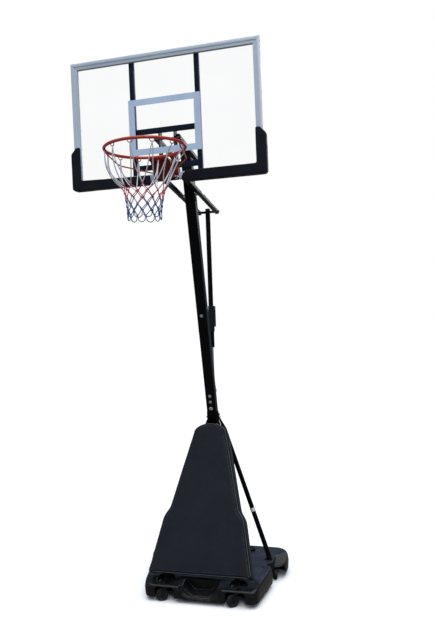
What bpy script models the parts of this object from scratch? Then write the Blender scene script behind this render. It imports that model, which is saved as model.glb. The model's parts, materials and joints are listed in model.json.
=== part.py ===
"""Portable basketball hoop: wheeled ballast base, leaning pole, lift linkage, board and breakaway rim.

World frame: +Z up, the board faces -Y, +X is the right-hand side of somebody facing the board.
The floor is z = 0. Distances written as "behind" are measured from the front of the board frame.
"""
import math

import bmesh
import bpy
from mathutils import Matrix, Vector

# Driving dimensions, in metres and degrees.
GAP = 0.0003

RIM_HEIGHT = 3.05
RING_INNER_DIAMETER = 0.457
RING_ROD_RADIUS = 0.009
RING_TO_BOARD = 0.1515
RING_RADIUS = RING_INNER_DIAMETER / 2 + RING_ROD_RADIUS
RING_BEHIND = -(RING_TO_BOARD + RING_INNER_DIAMETER / 2)

BOARD_WIDTH = 1.28
BOARD_TOP = RIM_HEIGHT + 0.716
BOARD_BOTTOM = RIM_HEIGHT - 0.115
RAIL_FACE = 0.044
RAIL_STEP = 0.023
RAIL_STEP_DEPTH = 0.005
RAIL_DEPTH = 0.030
RAIL_WALL = 0.003
PANEL_THICKNESS = 0.006
PANEL_BEHIND = 0.012
PAD_WALL = 0.014
PAD_SIDE = 0.020
PAD_COVER = 0.067
PAD_PLAY = 0.0006
PAD_TOP = 3.205
PAD_INNER_END = 0.105

SUPPORT_TUBE = 0.032
SUPPORT_WALL = 0.002
UPRIGHT_X = 0.222
CROSSBAR_UPPER_Z = 3.270
CROSSBAR_LOWER_Z = 3.033
BRACKET_X = 0.052
BRACKET_PLATE = 0.005

POLE_WIDTH = 0.075
POLE_WALL = 0.003
POLE_CORNER = 0.008
POLE_LEAN = math.radians(12.6)
POLE_PIVOT_BEHIND = 0.557
POLE_PIVOT_Z = 2.928
POLE_BOTTOM_Z = 1.180
POLE_SPLICE_Z = 2.090
POLE_TOP_Z = 3.262
SLEEVE_HALF = 0.110
SLEEVE_WALL = 0.0025

ARM_TILT = math.radians(7.5)
ARM_FRONT = 0.435
ARM_REAR = 0.490
ARM_SPACING = 0.240
ARM_X = 0.0725
ARM_WIDTH = 0.030
ARM_WALL = 0.002
ARM_OVERHANG = 0.020
BOLT_RADIUS = 0.006
BOLT_CLEARANCE = 0.0006
BOLT_HEAD_RADIUS = 0.011
BOLT_HEAD = 0.007

LIFT_FOOT_BEHIND = 0.995
LIFT_FOOT_Z = 1.433
LIFT_TUBE_RADIUS = 0.019
LIFT_TUBE_WALL = 0.002
LIFT_TUBE_ABOVE = 0.027
LIFT_TUBE_BELOW = 1.090
LIFT_ROD_RADIUS = 0.010
LIFT_ROD_LENGTH = 1.010
GRIP_START = 0.755
GRIP_LENGTH = 0.210

TRAY_THICKNESS = 0.028
TRAY_WALL = 0.018
TRAY_FORWARD = 0.020
TRAY_CHAMFER = 0.010
TRAY_DEPTH_BOTTOM = 0.085
TRAY_DEPTH_SHOULDER = 0.115
TRAY_DEPTH_TOP = 0.029
TRAY_DOME = 0.085

BASE_BOTTOM = 0.030
BASE_TOP = 0.150
BASE_REAR = 1.100
CASTER_WHEEL_RADIUS = 0.045
CASTER_WHEEL_WIDTH = 0.024
CASTER_TRAIL = 0.028
CASTER_WELL_RADIUS = 0.080
CASTER_WELL_TOP = 0.108
FRONT_CASTER = (0.260, 0.368)
REAR_CASTER = (0.455, 0.875)
LEG_SOCKET = (0.265, 0.414)
LEG_SOCKET_RADIUS = 0.068
LEG_SOCKET_FLOOR = 0.128
STRUT_FOOT = (0.418, 0.850)
STRUT_HALF = 0.015
JOINT_BEHIND = 0.945
JOINT_Z = 1.227
LEG_TAB = 0.006
STRUT_TAB = 0.005

# The origin is below the middle of the whole object, from the front of the ring to the back of the base.
BOARD_Y = -(RING_BEHIND - RING_RADIUS - RING_ROD_RADIUS + BASE_REAR) / 2

X_AXIS = Vector((1, 0, 0))
Z_AXIS = Vector((0, 0, 1))


def at(x, behind, z):
    """World position of a point given by its distance behind the board front."""
    return Vector((x, BOARD_Y + behind, z))


def material(name, colour, roughness, metallic=0.0):
    made = bpy.data.materials.new(name)
    made.use_nodes = True
    shader = made.node_tree.nodes["Principled BSDF"]
    shader.inputs["Base Color"].default_value = (*colour, 1.0)
    shader.inputs["Roughness"].default_value = roughness
    shader.inputs["Metallic"].default_value = metallic
    return made


def pivot(name, position, parent=None):
    """An empty that marks a joint's axis and carries the pieces that turn or slide with it."""
    empty = bpy.data.objects.new(name, None)
    empty.empty_display_size = 0.05
    bpy.context.collection.objects.link(empty)
    attach(empty, position, parent)
    return empty


def world_position(thing):
    position = Vector(thing.location)
    while thing.parent:
        thing = thing.parent
        position += Vector(thing.location)
    return position


def attach(thing, position, parent):
    thing.location = position if parent is None else position - world_position(parent)
    thing.parent = parent


def piece(name, bm, origin, finish, parent=None, smooth=False):
    """Turn a bmesh built in world coordinates into an object whose origin is the given point."""
    bmesh.ops.recalc_face_normals(bm, faces=bm.faces)
    bmesh.ops.translate(bm, vec=-origin, verts=bm.verts)
    mesh = bpy.data.meshes.new(name)
    bm.to_mesh(mesh)
    bm.free()
    made = bpy.data.objects.new(name, mesh)
    bpy.context.collection.objects.link(made)
    attach(made, origin, parent)
    if finish is not None:
        mesh.materials.append(finish)
    if smooth:
        mesh.shade_smooth()
        mesh.set_sharp_from_angle(angle=math.radians(35))
    return made


def soften(made, width, segments=1, angle=50):
    bevel = made.modifiers.new("rounded edges", "BEVEL")
    bevel.width = width
    bevel.segments = segments
    bevel.limit_method = "ANGLE"
    bevel.angle_limit = math.radians(angle)


def combine(made, other, operation):
    """Cut a guide out of a piece, or weld the guide's shape onto it."""
    other.hide_render = True
    other.display_type = "WIRE"
    boolean = made.modifiers.new(operation.lower() + " " + other.name, "BOOLEAN")
    boolean.operation = operation
    boolean.solver = "EXACT"
    boolean.object = other


def skin(rings, loop=False):
    """Join matching rings of points with quads; the two ends are capped unless they close on each other."""
    bm = bmesh.new()
    loops = [[bm.verts.new(point) for point in ring] for ring in rings]
    pairs = list(zip(loops, loops[1:]))
    if loop:
        pairs.append((loops[-1], loops[0]))
    for lower, upper in pairs:
        for i in range(len(lower)):
            j = (i + 1) % len(lower)
            bm.faces.new((lower[i], lower[j], upper[j], upper[i]))
    if not loop:
        bm.faces.new(loops[0])
        bm.faces.new(loops[-1])
    return bm


def rounded_ring(centre, u, v, half_u, half_v, corner):
    """An eight-sided section: a rectangle with its corners taken off."""
    steps = [(1, -1), (1, 1), (-1, 1), (-1, -1)]
    points = []
    for su, sv in steps:
        along_u = centre + u * su * (half_u - corner) + v * sv * half_v
        along_v = centre + u * su * half_u + v * sv * (half_v - corner)
        points += [along_v, along_u] if su * sv > 0 else [along_u, along_v]
    return points


def circle_ring(centre, u, v, radius, count):
    angles = [2 * math.pi * i / count for i in range(count)]
    return [centre + (u * math.cos(a) + v * math.sin(a)) * radius for a in angles]


def frame_of(direction):
    """Two directions square to the given one; the first is X wherever that is possible."""
    side = X_AXIS if abs(direction.x) < 0.9 else Vector((0, 1, 0))
    v = direction.cross(side).normalized()
    return v.cross(direction).normalized(), v


def turned(start, end, stations, count=12, loop=False):
    """A round shape along a line: each station is (distance from start, radius)."""
    direction = (end - start).normalized()
    u, v = frame_of(direction)
    rings = [circle_ring(start + direction * s, u, v, r, count) for s, r in stations]
    return skin(rings, loop)


def cylinder(start, end, radius, count=16):
    return turned(start, end, [(0, radius), ((end - start).length, radius)], count)


def pipe(start, end, radius, wall, count=16):
    length = (end - start).length
    inner = radius - wall
    stations = [(0, radius), (length, radius), (length, inner), (0, inner)]
    return turned(start, end, stations, count, loop=True)


def square_tube(start, end, width, wall, corner=0.004):
    direction = (end - start).normalized()
    u, v = frame_of(direction)
    outer, inner = width / 2, width / 2 - wall
    rings = [
        rounded_ring(point, u, v, half, half, corner)
        for point, half in ((start, outer), (end, outer), (end, inner), (start, inner))
    ]
    return skin(rings, loop=True)


def block(centre, size, turn=None):
    bm = bmesh.new()
    bmesh.ops.create_cube(bm, size=1.0)
    bmesh.ops.scale(bm, vec=size, verts=bm.verts)
    if turn is not None:
        bmesh.ops.rotate(bm, cent=(0, 0, 0), matrix=turn, verts=bm.verts)
    bmesh.ops.translate(bm, vec=centre, verts=bm.verts)
    return bm


def plate(outline, x_low, x_high):
    """A flat plate standing fore and aft: the outline is a list of (behind, z)."""
    return skin([[at(x, behind, z) for behind, z in outline] for x in (x_low, x_high)])


def guide(name, bm, origin=None):
    return piece(name, bm, Vector((0, 0, 0)) if origin is None else origin, None)


def drill(made, name, start, end, radius, count=16):
    combine(made, guide(name, cylinder(start, end, radius, count)), "DIFFERENCE")


def cross_drill(made, centre, reach=0.2):
    """A bolt hole that runs sideways, along X."""
    start, end = centre - X_AXIS * reach, centre + X_AXIS * reach
    drill(made, made.name + " hole", start, end, BOLT_RADIUS + BOLT_CLEARANCE)


def cross_bolt(name, centre, half_length, finish, parent=None, shoulders=()):
    """A bolt along X with a head and a nut; shoulders are (from, to, radius) out from the middle."""
    right = [(0.0, BOLT_RADIUS)]
    for low, high, radius in shoulders:
        right += [(low, BOLT_RADIUS), (low, radius), (high, radius), (high, BOLT_RADIUS)]
    head = half_length - BOLT_HEAD
    right += [(head, BOLT_RADIUS), (head, BOLT_HEAD_RADIUS), (half_length, BOLT_HEAD_RADIUS)]
    left = [(half_length - x, r) for x, r in reversed(right)]
    stations = left + [(half_length + x, r) for x, r in right[1:]]
    bm = turned(centre - X_AXIS * half_length, centre + X_AXIS * half_length, stations)
    return piece(name, bm, centre, finish, parent, smooth=True)


for leftover in list(bpy.data.objects):
    bpy.data.objects.remove(leftover, do_unlink=True)

BLACK_STEEL = material("black powder-coated steel", (0.012, 0.012, 0.014), 0.35, 0.4)
NAVY_STEEL = material("dark navy painted steel", (0.016, 0.024, 0.045), 0.4, 0.4)
SILVER = material("silver anodised aluminium", (0.52, 0.57, 0.62), 0.35, 0.8)
ACRYLIC = material("clear acrylic", (0.85, 0.92, 0.95), 0.05)
PAD_FOAM = material("black foam edge pad", (0.018, 0.02, 0.032), 0.6)
RIM_RED = material("orange-red powder-coated steel", (0.6, 0.07, 0.025), 0.35, 0.3)
SPRING_RED = material("dark red powder-coated steel", (0.28, 0.012, 0.01), 0.35, 0.3)
ZINC = material("zinc-plated steel", (0.6, 0.61, 0.63), 0.3, 0.9)
CHROME = material("chromed steel", (0.75, 0.75, 0.8), 0.12, 1.0)
NET_CORD = material("net cord", (0.8, 0.8, 0.85), 0.9)
VINYL = material("dark vinyl pole pad", (0.025, 0.03, 0.042), 0.55)
BASE_PLASTIC = material("black blow-moulded plastic", (0.02, 0.021, 0.026), 0.35)
WATER = material("ballast water", (0.35, 0.5, 0.6), 0.1)
CASTER_PLASTIC = material("black nylon", (0.02, 0.02, 0.02), 0.45)
WHEEL_PLASTIC = material("dark grey wheel plastic", (0.04, 0.04, 0.042), 0.5)
TRIGGER_RED = material("red trigger plastic", (0.55, 0.02, 0.02), 0.3)
GRIP_PLASTIC = material("black grip plastic", (0.02, 0.02, 0.022), 0.45)


# Key points of the linkage. The pole direction points up along the pole, the pole normal points backwards.
POLE_DIRECTION = Vector((0, -math.sin(POLE_LEAN), math.cos(POLE_LEAN)))
POLE_NORMAL = Vector((0, math.cos(POLE_LEAN), math.sin(POLE_LEAN)))
ARM_DIRECTION = Vector((0, math.cos(ARM_TILT), -math.sin(ARM_TILT)))
LOWER_PIVOT = at(0, POLE_PIVOT_BEHIND, POLE_PIVOT_Z)
UPPER_PIVOT = LOWER_PIVOT + POLE_DIRECTION * ARM_SPACING
LOWER_FRONT = LOWER_PIVOT - ARM_DIRECTION * ARM_FRONT
UPPER_FRONT = UPPER_PIVOT - ARM_DIRECTION * ARM_FRONT
LIFT_TOP = LOWER_PIVOT + ARM_DIRECTION * ARM_REAR
LIFT_FOOT = at(0, LIFT_FOOT_BEHIND, LIFT_FOOT_Z)
LIFT_DOWN = (LIFT_FOOT - LIFT_TOP).normalized()
LIFT_BACK = X_AXIS.cross(LIFT_DOWN).normalized()
HINGE_PIN = at(0, -0.018, 2.950)


def on_pole(z):
    """Point of the pole's centre line at a height."""
    return LOWER_PIVOT + POLE_DIRECTION * ((z - LOWER_PIVOT.z) / POLE_DIRECTION.z)


def along_lift(distance, back=0.0, x=0.0):
    return LIFT_TOP + LIFT_DOWN * distance + LIFT_BACK * back + X_AXIS * x


lower_arm_pivot = pivot("lower arm pivot", LOWER_PIVOT)
upper_arm_pivot = pivot("upper arm pivot", UPPER_PIVOT)
board_pivot = pivot("board pivot", LOWER_FRONT, lower_arm_pivot)
rim_pivot = pivot("rim pivot", HINGE_PIN, board_pivot)
lift_pivot = pivot("lift tube pivot", LIFT_TOP, lower_arm_pivot)
rod_slide = pivot("lift rod slide", LIFT_FOOT, lift_pivot)
trigger_pivot = pivot("trigger pivot", along_lift(GRIP_START + 0.040, 0.044), lift_pivot)


# --- Base -------------------------------------------------------------------------------------------

def base_outline():
    """Plan of the right half of the base, front to back, and its mirror image."""
    half = [
        (0.355, 0.325), (0.405, 0.338), (0.430, 0.385), (0.470, 0.690), (0.458, 0.720), (0.425, 0.745),
        (0.425, 0.775), (0.470, 0.800), (0.522, 0.830), (0.550, 0.890), (0.552, 1.010), (0.522, 1.070),
        (0.460, BASE_REAR),
    ]
    return half + [(-x, y) for x, y in reversed(half)]


def build_base():
    rings = [[at(x, y, z) for x, y in base_outline()] for z in (BASE_BOTTOM, BASE_TOP)]
    tank = piece("base_tank", skin(rings), at(0, 0.7, 0), BASE_PLASTIC, smooth=True)
    soften(tank, 0.014, 2, 60)
    for side, label in ((-1, "left"), (1, "right")):
        for (x, y), place in ((FRONT_CASTER, "front"), (REAR_CASTER, "rear")):
            low, high = at(side * x, y, -0.02), at(side * x, y, CASTER_WELL_TOP)
            drill(tank, f"{place} {label} caster well", low, high, CASTER_WELL_RADIUS, 24)
        x, y = LEG_SOCKET
        drill(tank, f"{label} leg socket", at(side * x, y, LEG_SOCKET_FLOOR), at(side * x, y, 0.2),
              LEG_SOCKET_RADIUS, 24)
    scoop = skin([
        rounded_ring(at(0, 0.35, 0.060), X_AXIS, Vector((0, 1, 0)), 0.070, 0.060, 0.02),
        rounded_ring(at(0, 0.35, 0.170), X_AXIS, Vector((0, 1, 0)), 0.175, 0.125, 0.05),
    ])
    combine(tank, guide("front scoop", scoop), "DIFFERENCE")
    cavity_low, cavity_high = at(-0.365, 0.490, 0.036), at(0.365, 1.080, 0.140)
    middle, size = (cavity_low + cavity_high) / 2, cavity_high - cavity_low
    combine(tank, guide("tank cavity", block(middle, size)), "DIFFERENCE")
    filler = at(0.250, 1.000, 0.120)
    drill(tank, "filler neck", filler, filler + Z_AXIS * 0.1, 0.0245)

    water_size = size - Vector((0.002, 0.002, 0.012))
    piece("water_fill", block(middle - Z_AXIS * 0.005, water_size), middle, WATER)
    top = at(0.250, 1.000, 0.143)
    skirt = BASE_TOP + GAP - top.z
    stations = [(0, 0.0235), (skirt, 0.0235), (skirt, 0.034), (0.020, 0.034), (0.024, 0.030)]
    piece("fill_cap", turned(top, top + Z_AXIS, stations, 20), top, CASTER_PLASTIC, smooth=True)


def build_caster(name, x, y, heading):
    """A swivel caster; heading is the direction from the stem to the wheel, in degrees from +X."""
    angle = math.radians(heading)
    ahead = Vector((math.cos(angle), math.sin(angle), 0))
    across = Vector((-ahead.y, ahead.x, 0))
    turn = Matrix.Rotation(angle, 3, "Z")
    stem = at(x, y, 0)
    axle = stem + ahead * CASTER_TRAIL + Z_AXIS * CASTER_WHEEL_RADIUS
    top = CASTER_WELL_TOP - GAP
    swivel = pivot(name + " swivel", stem)
    spin = pivot(name + " spin", axle, swivel)

    crown_foot = stem + Z_AXIS * (top - 0.012)
    crown = turned(crown_foot, crown_foot + Z_AXIS, [(0, 0.026), (0.009, 0.026), (0.012, 0.022)], 16)
    fork = piece(name + "_fork", crown, stem, CASTER_PLASTIC, swivel, smooth=True)
    offset = CASTER_WHEEL_WIDTH / 2 + 0.0045
    for side in (-1, 1):
        high = stem + ahead * 0.004 + across * side * offset + Z_AXIS * (top - 0.005)
        low = axle + across * side * offset - Z_AXIS * 0.002
        rings = [
            rounded_ring(high, ahead, across, 0.022, 0.002, 0.001),
            rounded_ring(low + Z_AXIS * 0.012, ahead, across, 0.012, 0.002, 0.001),
            rounded_ring(low - Z_AXIS * 0.008, ahead, across, 0.008, 0.002, 0.001),
        ]
        combine(fork, guide(f"{name} fork leg {side}", skin(rings)), "UNION")
    pin = cylinder(axle - across * (offset + 0.001), axle + across * (offset + 0.001), 0.005, 12)
    combine(fork, guide(name + " axle pin", pin), "UNION")

    half, radius = CASTER_WHEEL_WIDTH / 2, CASTER_WHEEL_RADIUS
    bore, edge = 0.0056, 0.004
    profile = [(-half, bore), (-half, radius - edge), (edge - half, radius),
               (half - edge, radius), (half, radius - edge), (half, bore)]
    rings = [circle_ring(axle + across * s, Z_AXIS, ahead, r, 24) for s, r in profile]
    piece(name + "_wheel", skin(rings, loop=True), axle, WHEEL_PLASTIC, spin, smooth=True)


# --- Legs, pole and pole pad ------------------------------------------------------------------------

def limb(name, side, sections, corner, tab):
    """A bar with a flattened tab at its top; sections are (x, behind, z, half width, half depth)."""
    y_axis = Vector((0, 1, 0))
    rings = []
    for x, y, z, half_x, half_y in sections:
        cut = min(half_x, half_y) * corner
        rings.append(rounded_ring(at(side * x, y, z), X_AXIS, y_axis, half_x, half_y, cut))
    made = piece(name, skin(rings), at(side * tab, JOINT_BEHIND, JOINT_Z), BLACK_STEEL)
    cross_drill(made, at(0, JOINT_BEHIND, JOINT_Z))


def build_legs():
    pole_side = POLE_WIDTH / 2 + GAP
    leg_tab = pole_side + LEG_TAB / 2
    strut_tab = pole_side + LEG_TAB + GAP + STRUT_TAB / 2
    socket_x, foot_z = LEG_SOCKET[0], LEG_SOCKET_FLOOR + GAP
    strut_x, strut_y = STRUT_FOOT
    leg = [
        (leg_tab, 0.929, 1.272, LEG_TAB / 2, 0.021), (leg_tab, 0.937, 1.205, LEG_TAB / 2, 0.020),
        (0.052, 0.915, 1.150, 0.009, 0.019), (0.064, 0.899, 1.110, 0.018, 0.020),
        (socket_x, 0.428, foot_z, 0.019, 0.021),
        (socket_x, 0.428, foot_z, 0.0165, 0.0185), (0.067, 0.893, 1.098, 0.0155, 0.0175),
    ]
    strut = [
        (strut_tab, 0.947, 1.252, STRUT_TAB / 2, 0.016), (strut_tab, 0.956, 1.214, STRUT_TAB / 2, 0.016),
        (0.080, 0.975, 1.120, STRUT_HALF, STRUT_HALF),
        (strut_x - 0.004, strut_y, 0.185, STRUT_HALF, STRUT_HALF),
        (strut_x, strut_y, 0.163, 0.017, 0.024), (strut_x, strut_y, BASE_TOP + GAP, 0.030, 0.026),
    ]
    for side, label in ((-1, "left"), (1, "right")):
        limb(f"front_leg_{label}", side, leg, 0.3, leg_tab)
        limb(f"rear_strut_{label}", side, strut, 0.5, strut_tab)
    half_length = strut_tab + STRUT_TAB / 2 + GAP + BOLT_HEAD + GAP
    cross_bolt("leg_joint_bolt", at(0, JOINT_BEHIND, JOINT_Z), half_length, ZINC)


def build_pole():
    half = POLE_WIDTH / 2
    sections = [
        ("pole_lower", POLE_BOTTOM_Z, POLE_SPLICE_Z, [at(0, JOINT_BEHIND, JOINT_Z)]),
        ("pole_upper", POLE_SPLICE_Z + GAP, POLE_TOP_Z, [LOWER_PIVOT, UPPER_PIVOT]),
    ]
    for name, low, high, bolts in sections:
        tube = square_tube(on_pole(low), on_pole(high), POLE_WIDTH, POLE_WALL, POLE_CORNER)
        made = piece(name, tube, on_pole(low), BLACK_STEEL)
        for centre in bolts:
            cross_drill(made, centre, half * 1.2)
    fit = POLE_WIDTH - 2 * POLE_WALL - 2 * GAP
    low, high = on_pole(POLE_SPLICE_Z - SLEEVE_HALF), on_pole(POLE_SPLICE_Z + SLEEVE_HALF)
    sleeve = square_tube(low, high, fit, SLEEVE_WALL, POLE_CORNER)
    piece("pole_splice_sleeve", sleeve, on_pole(POLE_SPLICE_Z), BLACK_STEEL)

    top = on_pole(POLE_TOP_Z) + POLE_DIRECTION * GAP
    u, v = X_AXIS, POLE_NORMAL
    plug, cover = fit / 2 - GAP, half + 0.0015
    steps = [(-0.025, plug), (0.0, plug), (0.0, cover), (0.004, cover), (0.007, cover - 0.003)]
    rings = [rounded_ring(top + POLE_DIRECTION * up, u, v, size, size, POLE_CORNER) for up, size in steps]
    piece("pole_cap", skin(rings), top, GRIP_PLASTIC)

    spacer = (half + 0.0005, ARM_X - ARM_WIDTH / 2 - 0.0005, 0.011)
    cross_bolt("pivot_bolt_lower", LOWER_PIVOT, 0.100, ZINC, shoulders=[spacer])
    cross_bolt("pivot_bolt_upper", UPPER_PIVOT, 0.100, ZINC, shoulders=[spacer])


def pad_outline(inset, length, foot):
    """Outline of the pad in (x, distance up the pad): wide below a step, round at the top."""
    shoulder, shoulder_half, rise = length - TRAY_DOME, 0.136 - inset, TRAY_DOME - inset
    widths = [(0.373, foot), (0.383, foot + 0.012), (0.312, 0.386), (0.273, 0.455)]
    half = [(x - inset, s) for x, s in widths] + [(shoulder_half, shoulder)]
    half += [(shoulder_half * math.cos(a), shoulder + rise * math.sin(a)) for a in (0.35, 0.75, 1.15)]
    return half + [(0.0, shoulder + rise)] + [(-x, s) for x, s in reversed(half)]


def tray_depth(s, length):
    """How far the side walls reach behind the leaning plane, at a distance up the pad."""
    shoulder = length - TRAY_DOME
    if s < shoulder:
        return TRAY_DEPTH_BOTTOM + (TRAY_DEPTH_SHOULDER - TRAY_DEPTH_BOTTOM) * max(0.0, s) / shoulder
    left = max(0.0, 1 - (s - shoulder) / TRAY_DOME)
    return TRAY_DEPTH_TOP + (TRAY_DEPTH_SHOULDER - TRAY_DEPTH_TOP) * left ** 1.8


def build_pole_pad():
    """A tapering foam tray that leans on the legs: a front panel with side walls, open below."""
    bottom, top = at(0, 0.355, 0.197), at(0, 0.865, 1.190)
    upward = (top - bottom).normalized()
    inward = upward.cross(X_AXIS)
    length = (top - bottom).length

    def ring(inset, foot, depth=None):
        points = pad_outline(inset, length, foot)
        depths = [tray_depth(s, length) if depth is None else depth for _, s in points]
        return [bottom + X_AXIS * x + upward * s + inward * d for (x, s), d in zip(points, depths)]

    face = TRAY_THICKNESS - TRAY_FORWARD
    rings = [
        ring(TRAY_CHAMFER, 0.0, -TRAY_FORWARD), ring(0.0, 0.0, 0.0), ring(0.0, 0.0),
        ring(TRAY_WALL, TRAY_WALL), ring(TRAY_WALL + TRAY_CHAMFER, TRAY_WALL, face),
    ]
    pad = piece("pole_pad", skin(rings), bottom, VINYL)
    soften(pad, 0.005, 1, 70)
    opening = [(0.340, -0.03), (0.340, 0.05), (-0.340, 0.05), (-0.340, -0.03)]
    below = [[bottom + X_AXIS * x + upward * s + inward * d for x, s in opening] for d in (face, 0.2)]
    combine(pad, guide("pad opening", skin(below)), "DIFFERENCE")


# --- Lift: arms, tube, rod, bracket, grip and trigger -----------------------------------------------

def build_arms():
    for side, label in ((-1, "left"), (1, "right")):
        shift = X_AXIS * side * ARM_X
        arms = [
            ("lower", lower_arm_pivot, [LOWER_PIVOT, LOWER_FRONT, LIFT_TOP]),
            ("upper", upper_arm_pivot, [UPPER_PIVOT, UPPER_FRONT]),
        ]
        for height, parent, bolts in arms:
            rear = bolts[-1] if height == "lower" else bolts[0]
            start = bolts[1] - ARM_DIRECTION * ARM_OVERHANG + shift
            end = rear + ARM_DIRECTION * ARM_OVERHANG + shift
            tube = square_tube(start, end, ARM_WIDTH, ARM_WALL)
            arm = piece(f"{height}_arm_{label}", tube, bolts[0], BLACK_STEEL, parent)
            for centre in bolts:
                cross_drill(arm, centre)
    spacer = (LIFT_TUBE_RADIUS + 0.0005, ARM_X - ARM_WIDTH / 2 - 0.0005, 0.010)
    half_length = ARM_X + ARM_WIDTH / 2 + BOLT_HEAD + GAP
    cross_bolt("rear_axle", LIFT_TOP, half_length, ZINC, lower_arm_pivot, [spacer])


def build_lift():
    start, end = along_lift(-LIFT_TUBE_ABOVE), along_lift(LIFT_TUBE_BELOW)
    outer_tube = pipe(start, end, LIFT_TUBE_RADIUS, LIFT_TUBE_WALL, 20)
    tube = piece("lift_tube", outer_tube, LIFT_TOP, BLACK_STEEL, lift_pivot, smooth=True)
    cross_drill(tube, LIFT_TOP, 0.03)
    bore = LIFT_TUBE_RADIUS - LIFT_TUBE_WALL
    bushing = pipe(along_lift(LIFT_TUBE_BELOW - 0.050), along_lift(LIFT_TUBE_BELOW - 0.001), bore - 2 * GAP,
                   bore - 2 * GAP - LIFT_ROD_RADIUS - 0.0005, 20)
    piece("lift_bushing", bushing, along_lift(LIFT_TUBE_BELOW), GRIP_PLASTIC, lift_pivot, smooth=True)

    lift_length = (LIFT_FOOT - LIFT_TOP).length
    low, high = along_lift(lift_length + 0.014), along_lift(lift_length - LIFT_ROD_LENGTH)
    rod_body = cylinder(low, high, LIFT_ROD_RADIUS, 16)
    rod = piece("lift_rod", rod_body, LIFT_FOOT, CHROME, rod_slide, smooth=True)
    reach, head = 0.0185, 0.006
    shank_end = 2 * reach + head
    pin = [(0, 0.010), (head, 0.010), (head, BOLT_RADIUS),
           (shank_end, BOLT_RADIUS), (shank_end, 0.010), (shank_end + head, 0.010)]
    start = LIFT_FOOT - X_AXIS * (reach + head)
    combine(rod, guide("foot pin", turned(start, start + X_AXIS, pin, 12)), "UNION")

    bore_radius, outer_radius = LIFT_TUBE_RADIUS + GAP, 0.024
    start, end = along_lift(GRIP_START), along_lift(GRIP_START + GRIP_LENGTH)
    clamp = pipe(start, end, outer_radius, outer_radius - bore_radius, 20)
    grip = piece("lift_grip", clamp, along_lift(GRIP_START), GRIP_PLASTIC, lift_pivot)
    turn = Matrix((X_AXIS, LIFT_BACK, LIFT_DOWN)).transposed()
    bars = [
        ("grip top arm", 0.772, 0.0600, (0.026, 0.076, 0.030)),
        ("grip bottom arm", 0.912, 0.0600, (0.026, 0.076, 0.026)),
        ("grip handle", 0.841, 0.0880, (0.026, 0.020, 0.168)),
    ]
    for name, distance, back, size in bars:
        combine(grip, guide(name, block(along_lift(distance, back), size, turn)), "UNION")
    slot = block(along_lift(GRIP_START + 0.044, 0.044), (0.016, 0.026, 0.050), turn)
    combine(grip, guide("trigger slot", slot), "DIFFERENCE")

    sections = [(0.022, 0.044, 0.006), (0.060, 0.044, 0.007), (0.110, 0.042, 0.006), (0.136, 0.046, 0.004)]
    rings = [
        rounded_ring(along_lift(GRIP_START + down, back), X_AXIS, LIFT_BACK, 0.006, half_depth, 0.002)
        for down, back, half_depth in sections
    ]
    origin = along_lift(GRIP_START + 0.040, 0.044)
    piece("lift_trigger", skin(rings), origin, TRIGGER_RED, trigger_pivot)

    foot = LIFT_FOOT - LOWER_PIVOT
    foot_up, foot_back = foot.dot(POLE_DIRECTION), foot.dot(POLE_NORMAL)
    half = POLE_WIDTH / 2

    def near_pole(up, back, x=0.0):
        return LOWER_PIVOT + POLE_DIRECTION * up + POLE_NORMAL * back + X_AXIS * x

    tilt = Matrix((X_AXIS, POLE_NORMAL, POLE_DIRECTION)).transposed()
    back_plate = block(near_pole(foot_up - 0.015, half + GAP + 0.002), (0.060, 0.004, 0.120), tilt)
    bracket = piece("lift_bracket", back_plate, LIFT_FOOT, BLACK_STEEL)
    reach = foot_back + 0.016 - half - GAP - 0.002
    for side in (-1, 1):
        centre = near_pole(foot_up, half + GAP + 0.002 + reach / 2, side * 0.0148)
        combine(bracket, guide(f"bracket cheek {side}", block(centre, (0.004, reach, 0.046), tilt)), "UNION")
    # The rod's foot pin leaves and enters through a slot that widens towards the open edge of the cheeks.
    out = (POLE_NORMAL * 0.952 + POLE_DIRECTION * 0.304).normalized()
    up = X_AXIS.cross(out)
    half_slot = [(-0.0078, 0.0040), (-0.0040, 0.0076), (0.0020, 0.0084), (0.0450, 0.0210)]
    outline = half_slot + [(reach_out, -width) for reach_out, width in reversed(half_slot)]
    slot = skin([[LIFT_FOOT + X_AXIS * x + out * o + up * w for o, w in outline] for x in (-0.025, 0.025)])
    combine(bracket, guide("foot slot", slot), "DIFFERENCE")


# --- Board ------------------------------------------------------------------------------------------

def rail(name, corner, along, inward, length):
    """A mitred frame rail: corner is its outer end, along its length, inward points at the panel."""
    back = Vector((0, 1, 0))
    groove_front, groove_back = PANEL_BEHIND - GAP, PANEL_BEHIND + PANEL_THICKNESS + GAP
    lip = RAIL_FACE - 0.004
    inside_front, inside_back = RAIL_WALL, RAIL_DEPTH - RAIL_WALL
    hollow = RAIL_STEP - RAIL_WALL
    section = [
        (0, 0), (RAIL_STEP, 0), (RAIL_STEP, RAIL_STEP_DEPTH), (RAIL_FACE, RAIL_STEP_DEPTH),
        (RAIL_FACE, groove_front), (hollow, groove_front), (hollow, inside_front),
        (RAIL_WALL, inside_front), (RAIL_WALL, inside_back), (lip, inside_back), (lip, groove_back),
        (RAIL_FACE, groove_back), (RAIL_FACE, RAIL_DEPTH), (0, RAIL_DEPTH),
    ]
    mitre = GAP
    rings = [
        [corner + along * (depth + mitre) + inward * depth + back * y for depth, y in section],
        [corner + along * (length - depth - mitre) + inward * depth + back * y for depth, y in section],
    ]
    return piece(name, skin(rings), corner, SILVER, board_pivot)


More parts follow.
